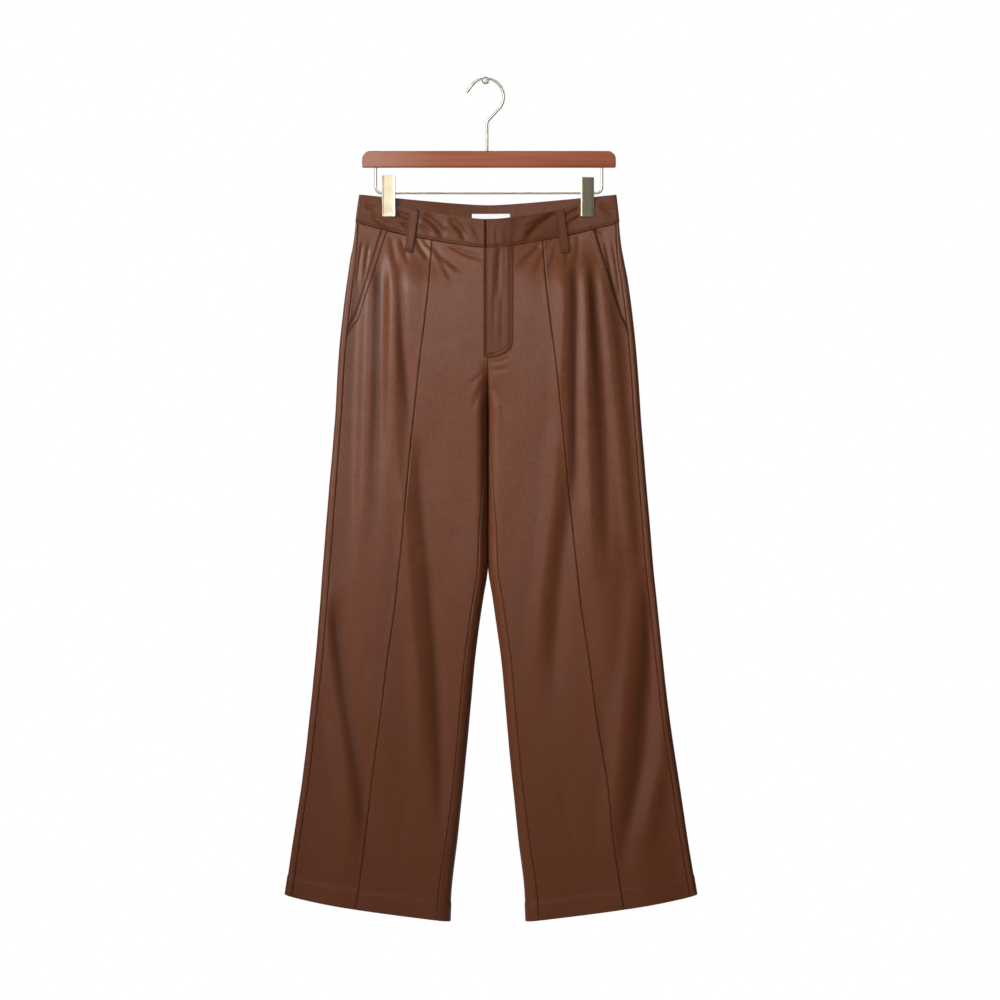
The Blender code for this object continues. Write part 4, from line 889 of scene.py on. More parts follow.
def makeLabel():
    x = np.linspace(*label["x"], 40) + np.zeros((20, 1))
    drop = np.linspace(*label["drop"], 20)[:, None] + np.zeros((1, 40))
    points, normals = facePoint("back", x, drop), faceNormal("back", x, drop)
    setIn = band["proud"] - band["wall"] - 2.0 * trousers["seamGap"]
    uv = np.stack([x, -drop], axis=-1)
    piece = layCloth("bareLabel", points + normals * setIn, label["wall"], uv, rim=0.0003, outward=normals)
    piece["node"] = "inner_label"


makeLabel()


# belt loops: face, x at the top and at the foot
loops = {
    "width": 0.0126, "wall": 0.0016, "bulge": 0.0012, "overTop": 0.0004, "belowSeam": 0.0262,
    "belt_loop_front_left": ("front", -0.1075, -0.1165),
    "belt_loop_front_right": ("front", 0.1045, 0.1130),
    "belt_loop_back_left": ("back", -0.0850, -0.0870),
    "belt_loop_back_centre": ("back", 0.0000, 0.0000),
    "belt_loop_back_right": ("back", 0.0850, 0.0870),
}


def makeLoops():
    for node in [name for name in loops if name.startswith("belt_loop")]:
        face, topX, footX = loops[node]
        share = np.linspace(0.0, 1.0, 44)[:, None]
        across = np.array([-0.5, -0.46, -0.40, -0.32, -0.2, 0.0, 0.2, 0.32, 0.40, 0.46, 0.5]) * loops["width"]
        x = topX + (footX - topX) * share + across
        top = edgeDrop(trousers["bandTop"][face], x[:1]) - loops["overTop"]
        bottom = edgeDrop(trousers["bandSeam"][face], x[-1:]) + loops["belowSeam"]
        drop = top + (bottom - top) * share
        points, normals = facePoint(face, x, drop), faceNormal(face, x, drop)
        height = band["proud"] + 2.0 * trousers["seamGap"] + loops["wall"]
        lift = height + loops["bulge"] * np.sin(math.pi * share) + 0.0 * x
        groove = 0.00025 * np.exp(-(((np.abs(across) - 0.0044) / 0.0006) ** 2))
        uv = np.stack([x, -drop], axis=-1)
        outside = points + normals * (lift - groove)[..., None]
        words = node.split("_")
        title = "beltLoop_" + "_".join(words[2:])
        piece = layCloth(title, outside, loops["wall"], uv, rim=0.0005, outward=normals)
        piece["node"] = node


makeLoops()
print("label and belt loops sewn on")


# thread where it shows: one stitch modelled, then laid in rows and bars
stitch = {"length": 0.0023, "thick": 0.00056, "pitch": 0.0031, "barPitch": 0.0007, "barLength": 0.0019}
thread = {}  # finished rows of stitches by name


def makeStitch():  # along X, bulging towards +Z
    deselectAll()
    bpy.ops.mesh.primitive_cylinder_add(
        vertices=6, radius=0.5 * stitch["thick"], depth=1.0, location=(0.0, 0.0, 0.0), rotation=(0.0, 0.5 * math.pi, 0.0))
    one = bpy.context.object
    bpy.ops.object.transform_apply(location=True, rotation=True, scale=True)
    bpy.ops.object.mode_set(mode="EDIT")
    bpy.ops.mesh.select_mode(type="FACE")
    selectWhere(one, "faces", lambda m, c: abs(m.x) > 0.49)
    bpy.ops.mesh.inset(thickness=0.0001, depth=0.0)
    bpy.ops.mesh.extrude_region_move(TRANSFORM_OT_translate={"value": (0.0, 0.0, -0.0001)})
    bpy.ops.mesh.select_all(action="SELECT")
    bpy.ops.mesh.normals_make_consistent(inside=False)
    bpy.ops.object.mode_set(mode="OBJECT")
    corners = np.array([vert.co[:] for vert in one.data.vertices])
    faces = [tuple(face.vertices) for face in one.data.polygons]
    bpy.data.objects.remove(one, do_unlink=True)
    return corners, faces


def laySeam(name, rows):
    # rows of stitches: each is (face, x, drop, along x, along drop, height over the face, length)
    corners, faces = oneStitch
    points, polygons = [], []
    for face, x, drop, stepX, stepDrop, lift, length in rows:
        spot, up = facePoint(face, x, drop), faceNormal(face, x, drop)
        ahead = facePoint(face, x + 0.0005 * stepX, drop + 0.0005 * stepDrop) - spot
        ahead = ahead / np.linalg.norm(ahead)
        aside = np.cross(up, ahead)
        spot = dress(spot, up, lift)
        local = corners * np.array([length, 1.0, 1.0])
        first = len(points)
        points.extend(spot + local @ np.stack([ahead, aside, up]) + np.array([trousers["centreX"], 0.0, 0.0]))
        polygons.extend(tuple(first + corner for corner in face_) for face_ in faces)
    mesh = bpy.data.meshes.new(name)
    mesh.from_pydata([tuple(point) for point in points], [], polygons)
    mesh.update()
    piece = bpy.data.objects.new(name, mesh)
    bpy.context.scene.collection.objects.link(piece)
    mesh.shade_smooth()
    thread[name] = piece


def barTack(face, x, drop, wide, lean, lift, upright=True):  # short stitches side by side
    count = int(round(wide / stitch["barPitch"]))
    places = (np.arange(count) - 0.5 * (count - 1)) * stitch["barPitch"]
    alongX, alongDrop = math.cos(lean), math.sin(lean)
    return [(face, x + step * alongX, drop + step * alongDrop, -alongDrop, alongX, lift, stitch["barLength"])
            for step in places]


def sewThread():
    for node in [name for name in loops if name.startswith("belt_loop")]:
        face, topX, footX = loops[node]
        low = float(edgeDrop(trousers["bandSeam"][face], footX)) + loops["belowSeam"] - 0.0021
        high = float(edgeDrop(trousers["bandTop"][face], topX)) + 0.0022
        over = band["proud"] + 2.0 * trousers["seamGap"] + loops["wall"] + 0.0001
        rows = barTack(face, footX, low, 0.0094, 0.0, over) + barTack(face, topX, high, 0.0094, 0.0, over)
        laySeam("barTacks_" + "_".join(node.split("_")[2:]), rows)
    rows = barTack("front", 0.0052, 0.4042, 0.0090, -0.35, fly["proud"] + 0.0001)
    laySeam("barTack_fly", rows)
    rows = []
    for x in (0.0026, 0.0052):  # the doubled row under the fly
        count = int((0.4690 - 0.4150) / stitch["pitch"])
        rows += [("front", x, 0.4150 + stitch["pitch"] * k, 0.0, 1.0, 0.0001, stitch["length"]) for k in range(count)]
    laySeam("riseStitches", rows)


oneStitch = None


# wooden bar, wire hook and rod, spring clips and wall pin
hanger = {
    "middleX": 0.0049,
    "barSize": (0.3730, 0.0130, 0.0241),
    "barTop": -0.1050,
    "topCorner": 0.0125,
    "lowCorner": 0.0022,
    "softEdge": 0.0019,
    "wire": 0.0020,
    "bore": 0.0025,
    "into": 0.0120,
    "rodHalf": 0.1663,
    "rodDrop": 0.1665,
    "rodBend": 0.0085,
}
# the hook: a straight tip, a tight bend, the big bend over the crown, and back under to the stem
hookShape = {"tipLength": 0.0130, "tightRadius": 0.0252, "tightTurn": 54.0, "bigRadius": 0.0266, "bigTurn": 132.0,
             "neckRadius": 0.0060, "stemX": 0.0022}
metal = {}  # finished hanger pieces by name


def selectWhere(piece, kind, test):  # in edit mode, selects only the parts whose middle passes a test
    build = bmesh.from_edit_mesh(piece.data)
    for parts in (build.verts, build.edges, build.faces):
        for part in parts:
            part.select = False
    build.select_flush(False)
    parts = getattr(build, kind)
    for part in parts:
        corners = [part.co] if kind == "verts" else [vert.co for vert in part.verts]
        if test(sum(corners, Vector()) / len(corners), corners):
            part.select_set(True)
    bmesh.update_edit_mesh(piece.data)


def keep(piece, name, node, smooth=32.0):
    bpy.context.view_layer.objects.active = piece
    piece.select_set(True)
    bpy.ops.object.transform_apply(location=True, rotation=True, scale=True)
    piece.name = name
    piece.data.name = name
    piece.data.shade_smooth()
    piece.data.set_sharp_from_angle(angle=math.radians(smooth))
    piece["node"] = node
    metal[name] = piece
    deselectAll()
    return piece


def applyModifier(piece, kind, **values):
    change = piece.modifiers.new("change", kind)
    for key, value in values.items():
        setattr(change, key, value)
    bpy.context.view_layer.objects.active = piece
    bpy.ops.object.modifier_apply(modifier="change")


def boreHole(piece, x, z, length):
    deselectAll()
    bpy.ops.mesh.primitive_cylinder_add(vertices=24, radius=hanger["bore"], depth=length, location=(x, 0.0, z))
    drill = bpy.context.object
    applyModifier(piece, "BOOLEAN", operation="DIFFERENCE", object=drill, solver="EXACT")
    bpy.data.objects.remove(drill, do_unlink=True)


def makeBar():
    deselectAll()
    length, deep, high = hanger["barSize"]
    top, middleX = hanger["barTop"], hanger["middleX"]
    bpy.ops.mesh.primitive_cube_add(size=1.0, location=(middleX, 0.0, top - 0.5 * high), scale=(length, deep, high))
    bar = bpy.context.object
    bpy.ops.object.transform_apply(location=True, rotation=False, scale=True)
    bpy.ops.object.mode_set(mode="EDIT")
    bpy.ops.mesh.select_mode(type="EDGE")
    ends = lambda m: abs(m.x - middleX) > 0.49 * length and abs(m.y) < 0.1 * deep
    selectWhere(bar, "edges", lambda m, c: ends(m) and m.z > top - 0.1 * high)
    bpy.ops.mesh.bevel(offset=hanger["topCorner"], segments=14, affect="EDGES")
    selectWhere(bar, "edges", lambda m, c: ends(m) and m.z < top - 0.9 * high)
    bpy.ops.mesh.bevel(offset=hanger["lowCorner"], segments=6, affect="EDGES")
    selectWhere(bar, "edges", lambda m, c: all(abs(abs(v.y) - 0.5 * deep) < 1e-5 for v in c) and abs(m.y) > 0.4 * deep)
    bpy.ops.mesh.bevel(offset=hanger["softEdge"], segments=5, affect="EDGES")
    bpy.ops.object.mode_set(mode="OBJECT")
    deep = 2.0 * (hanger["into"] + 0.001)
    boreHole(bar, hookShape["stemX"], top, deep)
    for side in (-1.0, 1.0):
        boreHole(bar, middleX + side * hanger["rodHalf"], top - high, deep)
    keep(bar, "woodenBar", "hanger_bar")


def startWire(place, heading):  # a round end of wire, facing along its heading in the hook's plane
    deselectAll()
    turn = Vector((heading[0], 0.0, heading[1])).to_track_quat("Z", "Y").to_euler()
    bpy.ops.mesh.primitive_circle_add(
        vertices=20, radius=hanger["wire"], fill_type="NGON", location=(place[0], 0.0, place[1]), rotation=turn)
    wire = bpy.context.object
    bpy.ops.object.transform_apply(location=True, rotation=True, scale=True)
    bpy.ops.object.mode_set(mode="EDIT")
    bpy.ops.mesh.select_all(action="SELECT")
    return wire


def runWire(x, z, steps=1):
    for _ in range(steps):
        bpy.ops.mesh.extrude_region_move(TRANSFORM_OT_translate={"value": (x / steps, 0.0, z / steps)})


def bendWire(centre, degrees, steps):  # turns on round a centre, clockwise seen from the front
    bpy.ops.mesh.spin(
        steps=steps, angle=-math.radians(degrees), center=(centre[0], 0.0, centre[1]), axis=(0.0, 1.0, 0.0))


def endWire(name, node):
    bpy.ops.mesh.select_all(action="SELECT")
    bpy.ops.mesh.remove_doubles(threshold=0.00001)
    bpy.ops.mesh.normals_make_consistent(inside=False)
    bpy.ops.object.mode_set(mode="OBJECT")
    wire = bpy.context.object
    applyModifier(wire, "BEVEL", width=0.0004, segments=3, limit_method="ANGLE", angle_limit=math.radians(60.0))
    keep(wire, name, node)


def makeHook():
    shape, middleX = hookShape, hookShape["stemX"]
    crown = 0.0020
    tightCentre = (0.0, crown - shape["tightRadius"])
    lean = math.radians(90.0 - shape["tightTurn"])
    joinX = tightCentre[0] - shape["tightRadius"] * math.cos(lean)
    joinZ = tightCentre[1] + shape["tightRadius"] * math.sin(lean)
    up = (math.sin(lean), math.cos(lean))
    length = shape["tipLength"]
    startWire((joinX - up[0] * length, joinZ - up[1] * length), up)
    runWire(up[0] * length, up[1] * length)
    bendWire(tightCentre, shape["tightTurn"], 10)
    bendWire((0.0, crown - shape["bigRadius"]), shape["bigTurn"], 30)
    fall = math.radians(shape["bigTurn"] - 90.0)  # the wire now runs down and to the left
    endX = shape["bigRadius"] * math.cos(fall)
    endZ = crown - shape["bigRadius"] - shape["bigRadius"] * math.sin(fall)
    bendX = shape["neckRadius"] * (1.0 - math.cos(fall))
    straight = (endX - middleX - bendX) / math.sin(fall)
    runWire(-straight * math.sin(fall), -straight * math.cos(fall))
    neckZ = endZ - straight * math.cos(fall)
    bendWire((middleX + shape["neckRadius"], neckZ - shape["neckRadius"] * math.sin(fall)), -math.degrees(fall), 8)
    stemZ = neckZ - shape["neckRadius"] * math.sin(fall)
    runWire(0.0, hanger["barTop"] - hanger["into"] - stemZ)
    endWire("wireHook", "hook")


def makeRod():
    half, bend, middleX = hanger["rodHalf"], hanger["rodBend"], hanger["middleX"]
    top = hanger["barTop"] - hanger["barSize"][2] + hanger["into"]
    low = -hanger["rodDrop"]
    startWire((middleX - half, top), (0.0, -1.0))
    runWire(0.0, low + bend - top)
    bendWire((middleX - half + bend, low + bend), -90.0, 10)
    runWire(2.0 * (half - bend), 0.0)
    bendWire((middleX + half - bend, low + bend), -90.0, 10)
    runWire(0.0, top - low - bend)
    endWire("clipRod", "clip_rod")


# spring clips: one pressed plate, bent where it grips, used four times
clips = {
    "x": {"left": 0.1467, "right": 0.1439}, "width": 0.0194, "sheet": 0.0012, "corner": 0.0015,
    "yaw": {"left": 6.6, "right": 6.5}, "long": {"left": 1.0, "right": 0.95}, "backNarrow": 0.94,
    "spine": ((0.0074, 0.0257), (0.0071, 0.0190), (0.0067, 0.0080), (0.0065, 0.0035), (0.0063, -0.0020),
              (0.0061, -0.0080), (0.0059, -0.0150), (0.0056, -0.0230), (0.0053, -0.0300), (0.0052, -0.0355)),
    "steps": 40, "sleeve": (0.0036, 0.0150),
}


def smoothPath(points, count):  # even places along a smooth line through points
    points = np.array(points)
    at = np.concatenate([[0.0], np.cumsum(np.linalg.norm(np.diff(points, axis=0), axis=1))])
    want = np.linspace(0.0, at[-1], count)
    lanes = [throughTable(np.stack([at, points[:, k]], axis=1), 1, want) for k in range(2)]
    return np.stack(lanes, axis=1)


def makeJaw():
    spine = smoothPath(clips["spine"], clips["steps"])
    deselectAll()
    width = clips["width"]
    y0, z0 = spine[0]
    bpy.ops.mesh.primitive_grid_add(x_subdivisions=6, y_subdivisions=1, size=1.0, location=(0.0, -y0, z0))
    jaw = bpy.context.object
    jaw.scale = (width, 0.0001, 1.0)
    bpy.ops.object.transform_apply(location=True, rotation=True, scale=True)
    bpy.ops.object.mode_set(mode="EDIT")
    bpy.ops.mesh.select_mode(type="EDGE")
    bpy.ops.mesh.select_all(action="SELECT")
    bpy.ops.mesh.remove_doubles(threshold=0.0005)  # the strip closes to one line of edges
    bpy.ops.mesh.select_all(action="SELECT")
    for (ya, za), (yb, zb) in zip(spine[:-1], spine[1:]):
        bpy.ops.mesh.extrude_region_move(TRANSFORM_OT_translate={"value": (0.0, ya - yb, zb - za)})
    bpy.ops.mesh.select_all(action="SELECT")
    bpy.ops.mesh.normals_make_consistent(inside=False)
    bpy.ops.mesh.select_mode(type="VERT")
    top, low = spine[0][1], spine[-1][1]
    selectWhere(jaw, "verts", lambda m, c: abs(abs(m.x) - 0.5 * width) < 1e-5 and (m.z > top - 1e-5 or m.z < low + 1e-5))
    bpy.ops.mesh.bevel(offset=clips["corner"], segments=5, affect="VERTICES")
    bpy.ops.object.mode_set(mode="OBJECT")
    applyModifier(jaw, "SOLIDIFY", thickness=clips["sheet"], offset=0.0)
    applyModifier(jaw, "BEVEL", width=0.00042, segments=3, limit_method="ANGLE", angle_limit=math.radians(60.0))
    return jaw


def makeClips():
    jaw = makeJaw()
    pattern = jaw.data
    for side, sign in (("left", -1.0), ("right", 1.0)):
        for face, turn in (("front", 1.0), ("back", -1.0)):
            mesh = pattern.copy()
            plate = bpy.data.objects.new("plate", mesh)
            bpy.context.scene.collection.objects.link(plate)
            middle = hanger["middleX"] + sign * clips["x"][side]
            place = Matrix.Translation((middle, 0.0, -hanger["rodDrop"]))
            yaw = Matrix.Rotation(math.radians(sign * clips["yaw"][side]) if turn > 0 else math.pi, 4, "Z")
            trim = Matrix.Scale(1.0 if turn > 0 else clips["backNarrow"], 4, (1.0, 0.0, 0.0))
            short = Matrix.Diagonal((1.0, 1.0, clips["long"][side], 1.0))
            foot = Matrix.Translation((0.0, 0.0, clips["spine"][-1][1] * (1.0 - clips["long"][side])))
            mesh.transform(place @ foot @ yaw @ trim @ short)
            deselectAll()
            keep(plate, f"clipPlate_{side}_{face}", f"clip_{side}_{face}_jaw", 40.0)
        deselectAll()
        radius, length = clips["sleeve"]
        bpy.ops.mesh.primitive_cylinder_add(
            vertices=32, radius=radius, depth=length, end_fill_type="NOTHING",
            location=(middle, 0.0, -hanger["rodDrop"]), rotation=(0.0, 0.5 * math.pi, 0.0))
        sleeve = bpy.context.object
        bpy.ops.object.transform_apply(location=True, rotation=True, scale=True)
        applyModifier(sleeve, "SOLIDIFY", thickness=radius - hanger["bore"], offset=-1.0)
        applyModifier(sleeve, "BEVEL", width=0.0003, segments=3, limit_method="ANGLE", angle_limit=math.radians(60.0))
        keep(sleeve, f"rodSleeve_{side}", f"clip_{side}_sleeve")
    bpy.data.objects.remove(jaw, do_unlink=True)


pin = {"shank": 0.0015, "head": 0.0055, "thick": 0.0024, "neck": 0.0030, "wall": 0.0260, "rim": 0.0013}


def makePin():
    deselectAll()
    z = -(pin["shank"] + trousers["seamGap"])
    middleY = -(pin["neck"] + 0.5 * pin["thick"])
    bpy.ops.mesh.primitive_cylinder_add(
        vertices=48, radius=pin["head"], depth=pin["thick"], location=(0.0, middleY, z), rotation=(0.5 * math.pi, 0.0, 0.0))
    head = bpy.context.object
    bpy.ops.object.transform_apply(location=True, rotation=True, scale=True)
    bpy.ops.object.mode_set(mode="EDIT")
    bpy.ops.mesh.select_mode(type="FACE")
    front, back = middleY - 0.5 * pin["thick"], middleY + 0.5 * pin["thick"]
    selectWhere(head, "faces", lambda m, c: m.y < front + 1e-5)
    bpy.ops.mesh.inset(thickness=pin["rim"], depth=0.0)
    bpy.ops.mesh.inset(thickness=0.0003, depth=-0.0005)
    bpy.ops.mesh.inset(thickness=0.0012, depth=0.0003)
    bpy.ops.mesh.inset(thickness=0.0014, depth=0.0003)
    selectWhere(head, "faces", lambda m, c: m.y > back - 1e-5)
    bpy.ops.mesh.inset(thickness=pin["head"] - pin["shank"], depth=0.0)
    bpy.ops.mesh.extrude_region_move(TRANSFORM_OT_translate={"value": (0.0, pin["wall"] + pin["neck"], 0.0)})
    bpy.ops.mesh.select_all(action="SELECT")
    bpy.ops.mesh.normals_make_consistent(inside=False)
    bpy.ops.object.mode_set(mode="OBJECT")
    applyModifier(head, "BEVEL", width=0.0004, segments=3, limit_method="ANGLE", angle_limit=math.radians(50.0))
    keep(head, "wallPin", "wall_pin", 45.0)


makeBar()
makeHook()
makeRod()
makeClips()
makePin()
print("hanger, clips and pin made")

oneStitch = makeStitch()
sewThread()
print("thread laid in")


# materials, from shared effects
def makeGroup(name, inputs, outputs):
    group = bpy.data.node_groups.new(name, "ShaderNodeTree")
    for title, kind, value in inputs:
        socket = group.interface.new_socket(name=title, in_out="INPUT", socket_type=kind)
        if value is not None:
            socket.default_value = value
    for title, kind in outputs:
        group.interface.new_socket(name=title, in_out="OUTPUT", socket_type=kind)
    entry = group.nodes.new("NodeGroupInput")
    leave = group.nodes.new("NodeGroupOutput")
    return group, entry, leave


def addNode(tree, kind, values=None, **settings):
    node = tree.nodes.new(kind)
    for key, value in settings.items():
        setattr(node, key, value)
    for key, value in (values or {}).items():
        node.inputs[key].default_value = value
    return node


def makeGrain():  # fine pebbled grain and faint lengthwise streaks of a coated cloth, in metres
    group, entry, leave = makeGroup(
        "leatherGrain",
        [("Vector", "NodeSocketVector", None), ("Pebble", "NodeSocketFloat", 900.0), ("Streak", "NodeSocketFloat", 0.35)],
        [("Height", "NodeSocketFloat"), ("Tone", "NodeSocketFloat")],
    )
    link = group.links.new
    pebble = addNode(group, "ShaderNodeTexVoronoi", feature="SMOOTH_F1")
    pebble.inputs["Smoothness"].default_value = 0.6
    link(entry.outputs["Vector"], pebble.inputs["Vector"])
    link(entry.outputs["Pebble"], pebble.inputs["Scale"])
    strands = []
    for scale in ((520.0, 70.0, 1.0), (60.0, 620.0, 1.0)):  # along the cloth, then across it
        stretch = addNode(group, "ShaderNodeMapping", {"Scale": scale})
        link(entry.outputs["Vector"], stretch.inputs["Vector"])
        strand = addNode(group, "ShaderNodeTexNoise", {"Scale": 1.0, "Detail": 3.0, "Roughness": 0.6})
        link(stretch.outputs["Vector"], strand.inputs["Vector"])
        strands.append(strand.outputs["Fac"])
    both = addNode(group, "ShaderNodeMath", operation="ADD")
    link(strands[0], both.inputs[0])
    link(strands[1], both.inputs[1])
    streak = addNode(group, "ShaderNodeMath", {1: 0.5}, operation="MULTIPLY")
    link(both.outputs[0], streak.inputs[0])
    slow = addNode(group, "ShaderNodeTexNoise", {"Scale": 34.0, "Detail": 2.0, "Roughness": 0.5})
    link(entry.outputs["Vector"], slow.inputs["Vector"])
    weigh = addNode(group, "ShaderNodeMath", operation="MULTIPLY")
    link(streak.outputs[0], weigh.inputs[0])
    link(entry.outputs["Streak"], weigh.inputs[1])
    height = addNode(group, "ShaderNodeMath", operation="ADD")
    link(pebble.outputs["Distance"], height.inputs[0])
    link(weigh.outputs[0], height.inputs[1])
    link(height.outputs[0], leave.inputs["Height"])
    some = addNode(group, "ShaderNodeMath", {1: 0.14}, operation="MULTIPLY")
    link(slow.outputs["Fac"], some.inputs[0])
    blend = addNode(group, "ShaderNodeMath", {1: 0.86}, operation="MULTIPLY_ADD")
    link(streak.outputs[0], blend.inputs[0])
    link(some.outputs[0], blend.inputs[2])
    link(blend.outputs[0], leave.inputs["Tone"])
    return group


def makeSewing():  # a sewn line at a set distance from an edge: its groove, its stitches and the cloth's pucker
    group, entry, leave = makeGroup(
        "sewnLine",
        [("Distance", "NodeSocketFloat", 1.0), ("Along", "NodeSocketFloat", 0.0), ("At", "NodeSocketFloat", 0.003),
         ("Width", "NodeSocketFloat", 0.0012), ("Pitch", "NodeSocketFloat", 320.0)],
        [("Groove", "NodeSocketFloat"), ("Thread", "NodeSocketFloat"), ("Pucker", "NodeSocketFloat")],
    )
    link = group.links.new

    def math2(operation, first, second):
        node = addNode(group, "ShaderNodeMath", operation=operation)
        for slot, source in enumerate((first, second)):
            if isinstance(source, float):
                node.inputs[slot].default_value = source
            elif source is not None:
                link(source, node.inputs[slot])
        return node.outputs[0]

    def fall(value, start, end):
        node = addNode(group, "ShaderNodeMapRange", {"To Min": 1.0, "To Max": 0.0}, interpolation_type="SMOOTHSTEP")
        link(value, node.inputs["Value"])
        for title, source in (("From Min", start), ("From Max", end)):
            if isinstance(source, float):
                node.inputs[title].default_value = source
            else:
                link(source, node.inputs[title])
        return node.outputs["Result"]

    away = math2("ABSOLUTE", math2("SUBTRACT", entry.outputs["Distance"], entry.outputs["At"]), None)
    groove = fall(away, 0.0, entry.outputs["Width"])
    turn = math2("MULTIPLY", entry.outputs["Along"], entry.outputs["Pitch"])
    middle = math2("ABSOLUTE", math2("SUBTRACT", math2("FRACT", turn, None), 0.5), None)
    core = fall(away, math2("MULTIPLY", entry.outputs["Width"], 0.25), math2("MULTIPLY", entry.outputs["Width"], 0.45))
    thread = math2("MULTIPLY", core, fall(middle, 0.30, 0.42))
    wide = fall(away, 0.0, math2("MULTIPLY", entry.outputs["Width"], 3.2))
    slow = addNode(group, "ShaderNodeTexNoise", {"Scale": 190.0, "Detail": 1.0}, noise_dimensions="1D")
    link(entry.outputs["Along"], slow.inputs["W"])
    link(groove, leave.inputs["Groove"])
    link(thread, leave.inputs["Thread"])
    link(math2("MULTIPLY", wide, slow.outputs["Fac"]), leave.inputs["Pucker"])
    return group


def makeEdgeWearAndShade():  # a mask on sharply turned edges, from how sharply the surface turns: rubbed wear on the cloth and metal, painted shade on the wooden bar's rounded edges
    group, entry, leave = makeGroup(
        "edgeWearAndShade",
        [("Low", "NodeSocketFloat", 0.52), ("High", "NodeSocketFloat", 0.62)],
        [("Mask", "NodeSocketFloat")],
    )
    link = group.links.new
    turn = addNode(group, "ShaderNodeNewGeometry")
    spread = addNode(group, "ShaderNodeMapRange")
    link(turn.outputs["Pointiness"], spread.inputs["Value"])
    link(entry.outputs["Low"], spread.inputs["From Min"])
    link(entry.outputs["High"], spread.inputs["From Max"])
    link(spread.outputs["Result"], leave.inputs["Mask"])
    return group


grainGroup = makeGrain()
edgeWearAndShadeGroup = makeEdgeWearAndShade()
sewingGroup = makeSewing()


def newMaterial(name):
    material = bpy.data.materials.new(name)
    material.use_nodes = True
    return material, material.node_tree, material.node_tree.nodes["Principled BSDF"]


def placeGroup(tree, group, values=None):
    node = tree.nodes.new("ShaderNodeGroup")
    node.node_tree = group
    for key, value in (values or {}).items():
        node.inputs[key].default_value = value
    return node


def ramp(tree, stops):
    node = tree.nodes.new("ShaderNodeValToRGB")
    band = node.color_ramp
    while len(band.elements) < len(stops):
        band.elements.new(0.5)
    for element, (place, colour) in zip(band.elements, stops):
        element.position = place
        element.color = (*colour, 1.0)
    return node


# shade, low and groove are painted shade: for the shaded walls of fold hollows, the lower legs and sewn grooves
leatherLook = {
    "dark": (0.112, 0.0325, 0.0122), "mid": (0.143, 0.0432, 0.0170), "light": (0.170, 0.0550, 0.0235),
    "shade": (0.062, 0.0165, 0.0060), "low": (0.1245, 0.0315, 0.0092), "edgeTone": (0.185, 0.0680, 0.0340), "groove": (0.020, 0.0054, 0.0024),
    "thread": (0.085, 0.0260, 0.0120), "roughness": (0.39, 0.44), "specular": 0.27, "bump": 0.16, "bumpDepth": 0.00020,
    "sewnDepth": 0.00025,
}


